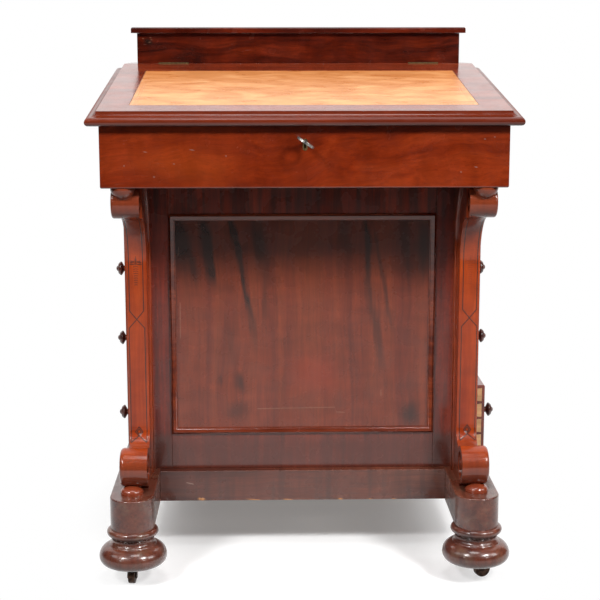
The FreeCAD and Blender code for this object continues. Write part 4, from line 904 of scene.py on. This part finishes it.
# soft lights: name, place, height aimed at, width, power
LIGHTS = (
    ("key_light", (-1.45, -1.95, 2.2), 0.45, 0.5, 51),
    ("fill_light", (1.45, -1.95, 2.2), 0.45, 0.5, 63),
    ("low_left_light", (-1.68, -2.08, 1.0), 0.4, 0.26, 3),
    ("low_right_light", (1.4, -2.08, 1.05), 0.4, 0.26, 3),
    ("top_light", (0.0, -0.9, 2.7), 0.4, 0.9, 20),
    ("left_light", (-1.9, -0.6, 1.5), 0.4, 0.7, 5),
    ("right_light", (1.9, -0.9, 1.3), 0.3, 0.7, 12),
    ("rear_left_light", (-1.6, 2.1, 1.7), 0.4, 0.8, 34),
    ("rear_right_light", (1.6, 2.1, 1.7), 0.4, 0.8, 34),
)
SENSOR = 36     # the camera's, in millimetres


def softbox(name, place, aim_height, size, power):
    """A square light aimed at the desk; one behind the desk does not show in the polish."""
    light = bpy.data.lights.new(name, "AREA")
    light.shape, light.size, light.energy = "SQUARE", size, power
    lamp = bpy.data.objects.new(name, light)
    lamp.location = place
    aim = Vector((0, 0, aim_height)) - lamp.location
    lamp.rotation_euler = aim.to_track_quat("-Z", "Y").to_euler()
    lamp.visible_camera = False
    lamp.visible_glossy = lamp.location.y < 0
    bpy.context.scene.collection.objects.link(lamp)


def seen_rays(made):
    """The light path, and 1 for rays that look at the background, straight or in gloss or glass."""
    path = made.node("LightPath")
    seen = made.math("MAXIMUM", path.outputs["Is Camera Ray"], path.outputs["Is Glossy Ray"])
    return path, made.math("MAXIMUM", seen, path.outputs["Is Transmission Ray"])


class DAVENPORT_OT_stage(bpy.types.Operator):
    """Set the floor, the soft lights and the camera"""
    bl_idname = "davenport.stage"
    bl_label = "Stage"

    def execute(self, context):
        self.make_floor()
        self.make_curtain()
        self.make_light(context)
        self.make_camera(context)
        return {"FINISHED"}

    def make_floor(self):
        """A pale floor that turns white further out, with dark boards that the polish sees."""
        bm = bmesh.new()
        bmesh.ops.create_grid(bm, x_segments=1, y_segments=1, size=30)
        floor = object_from(bm, "floor")
        made = Finish("pale_floor")
        path, seen = seen_rays(made)
        where = made.place()
        spread = made.mapped(where, (1.6, 1.0, 1.0))
        far = made.node("VectorMath", {0: spread}, operation="LENGTH").outputs["Value"]
        front = made.math("MULTIPLY", made.axis(where, "Y"), -1)
        tone = made.blend(seen, (FLOOR_HIDDEN,) * 3, (FLOOR_SEEN,) * 3)
        paper = made.node("BsdfDiffuse", {"Color": tone}).outputs["BSDF"]
        lift = made.emission(made.math("MULTIPLY", seen, FLOOR_LIFT))
        near = made.node("AddShader", {0: paper, 1: lift}).outputs["Shader"]
        share = made.math("MULTIPLY", seen, made.smooth(far, *FLOOR_FADE))
        look = made.mixed(share, near, made.emission(1.0))
        boards = made.node("BsdfDiffuse", {"Color": (0.03, 0.03, 0.03)}).outputs["BSDF"]
        hidden = made.math("SUBTRACT", 1.0, path.outputs["Is Camera Ray"])
        aside = made.math("ABSOLUTE", made.axis(where, "X"))
        edge = made.math("MAXIMUM", made.smooth(front, *BOARDS_AHEAD),
                         made.smooth(aside, *BOARDS_ASIDE))
        edge = made.math("MULTIPLY", edge, made.math("GREATER_THAN", front, BOARDS_BACK))
        look = made.mixed(made.math("MULTIPLY", hidden, edge), look, boards)
        made.node("OutputMaterial", {"Surface": look})
        floor.data.materials.append(made.block)

    def make_curtain(self):
        """Dark curtains behind and beside the camera and a dark ceiling, for the polish only."""
        bm = bmesh.new()
        for middle, turn, axis, size in CLOTHS:
            turned = Matrix.Rotation(math.radians(turn), 4, axis) @ Matrix.Diagonal(size)
            bmesh.ops.create_grid(bm, x_segments=1, y_segments=1, size=1,
                                  matrix=Matrix.Translation(middle) @ turned)
        curtain = object_from(bm, "curtain")
        curtain.visible_camera = False
        made = Finish("dark_cloth")
        weave = made.noise(made.place(), 40, 3).outputs["Fac"]
        curtain.data.materials.append(made.surface(
            Base_Color=made.ramp(weave, [(0.3, 0.015), (0.7, 0.03)]), Roughness=0.9))

    def make_light(self, context):
        made = Finish("studio", "worlds")
        _, seen = seen_rays(made)
        strength = made.math("MULTIPLY_ADD", seen, 1 - WORLD_LIGHT, WORLD_LIGHT)
        back = made.node("Background", {"Color": (1, 1, 1), "Strength": strength})
        made.node("OutputWorld", {"Surface": back.outputs["Background"]})
        context.scene.world = made.block
        for light in LIGHTS:
            softbox(*light)

    def make_camera(self, context):
        view = context.scene.davenport_view
        sine, cosine = math.sin, math.cos
        ahead = Vector((sine(view.yaw) * cosine(view.pitch), cosine(view.yaw) * cosine(view.pitch),
                        -sine(view.pitch)))
        right = Vector((cosine(view.yaw), -sine(view.yaw), 0))
        down = ahead.cross(right)
        leaned = right * cosine(view.roll) + down * sine(view.roll)
        up = right * sine(view.roll) - down * cosine(view.roll)
        turn = Matrix((leaned, up, -ahead)).transposed()
        data = bpy.data.cameras.new("camera")
        data.lens, data.sensor_width = view.lens, SENSOR
        camera = bpy.data.objects.new("camera", data)
        camera.matrix_world = Matrix.Translation(view.place) @ turn.to_4x4()
        context.scene.collection.objects.link(camera)
        context.scene.camera = camera
        context.scene.view_settings.view_transform = "Standard"


OPERATORS = (
    DAVENPORT_OT_writing_box, DAVENPORT_OT_leather, DAVENPORT_OT_stationery_box,
    DAVENPORT_OT_pedestal, DAVENPORT_OT_trusses, DAVENPORT_OT_drawers, DAVENPORT_OT_knobs,
    DAVENPORT_OT_base, DAVENPORT_OT_castors, DAVENPORT_OT_fittings, DAVENPORT_OT_stage,
)
GROUPS = {"davenport_colours": DavenportColours, "davenport_sizes": DavenportSizes,
          "davenport_view": DavenportView}


class DAVENPORT_PT_desk(bpy.types.Panel):
    """Lists the desk's pieces, colours and sizes"""
    bl_label = "Davenport Desk"
    bl_idname = "DAVENPORT_PT_desk"
    bl_space_type = "VIEW_3D"
    bl_region_type = "UI"
    bl_category = "Davenport"

    def draw(self, context):
        for operator in OPERATORS:
            self.layout.operator(operator.bl_idname)
        for name, group in GROUPS.items():
            box = self.layout.box()
            for prop in group.__annotations__:
                box.prop(getattr(context.scene, name), prop)


def register():
    for cls in (*GROUPS.values(), *OPERATORS, DAVENPORT_PT_desk):
        bpy.utils.register_class(cls)
    for name, group in GROUPS.items():
        setattr(bpy.types.Scene, name, PointerProperty(type=group))
    bpy.types.Scene.davenport_finishes = {}


def unregister():
    del bpy.types.Scene.davenport_finishes
    for name in GROUPS:
        delattr(bpy.types.Scene, name)
    for cls in reversed((*GROUPS.values(), *OPERATORS, DAVENPORT_PT_desk)):
        bpy.utils.unregister_class(cls)


def main():
    register()
    for operator in OPERATORS:
        family, name = operator.bl_idname.split(".")
        getattr(getattr(bpy.ops, family), name)()


if __name__ == "__main__":
    main()
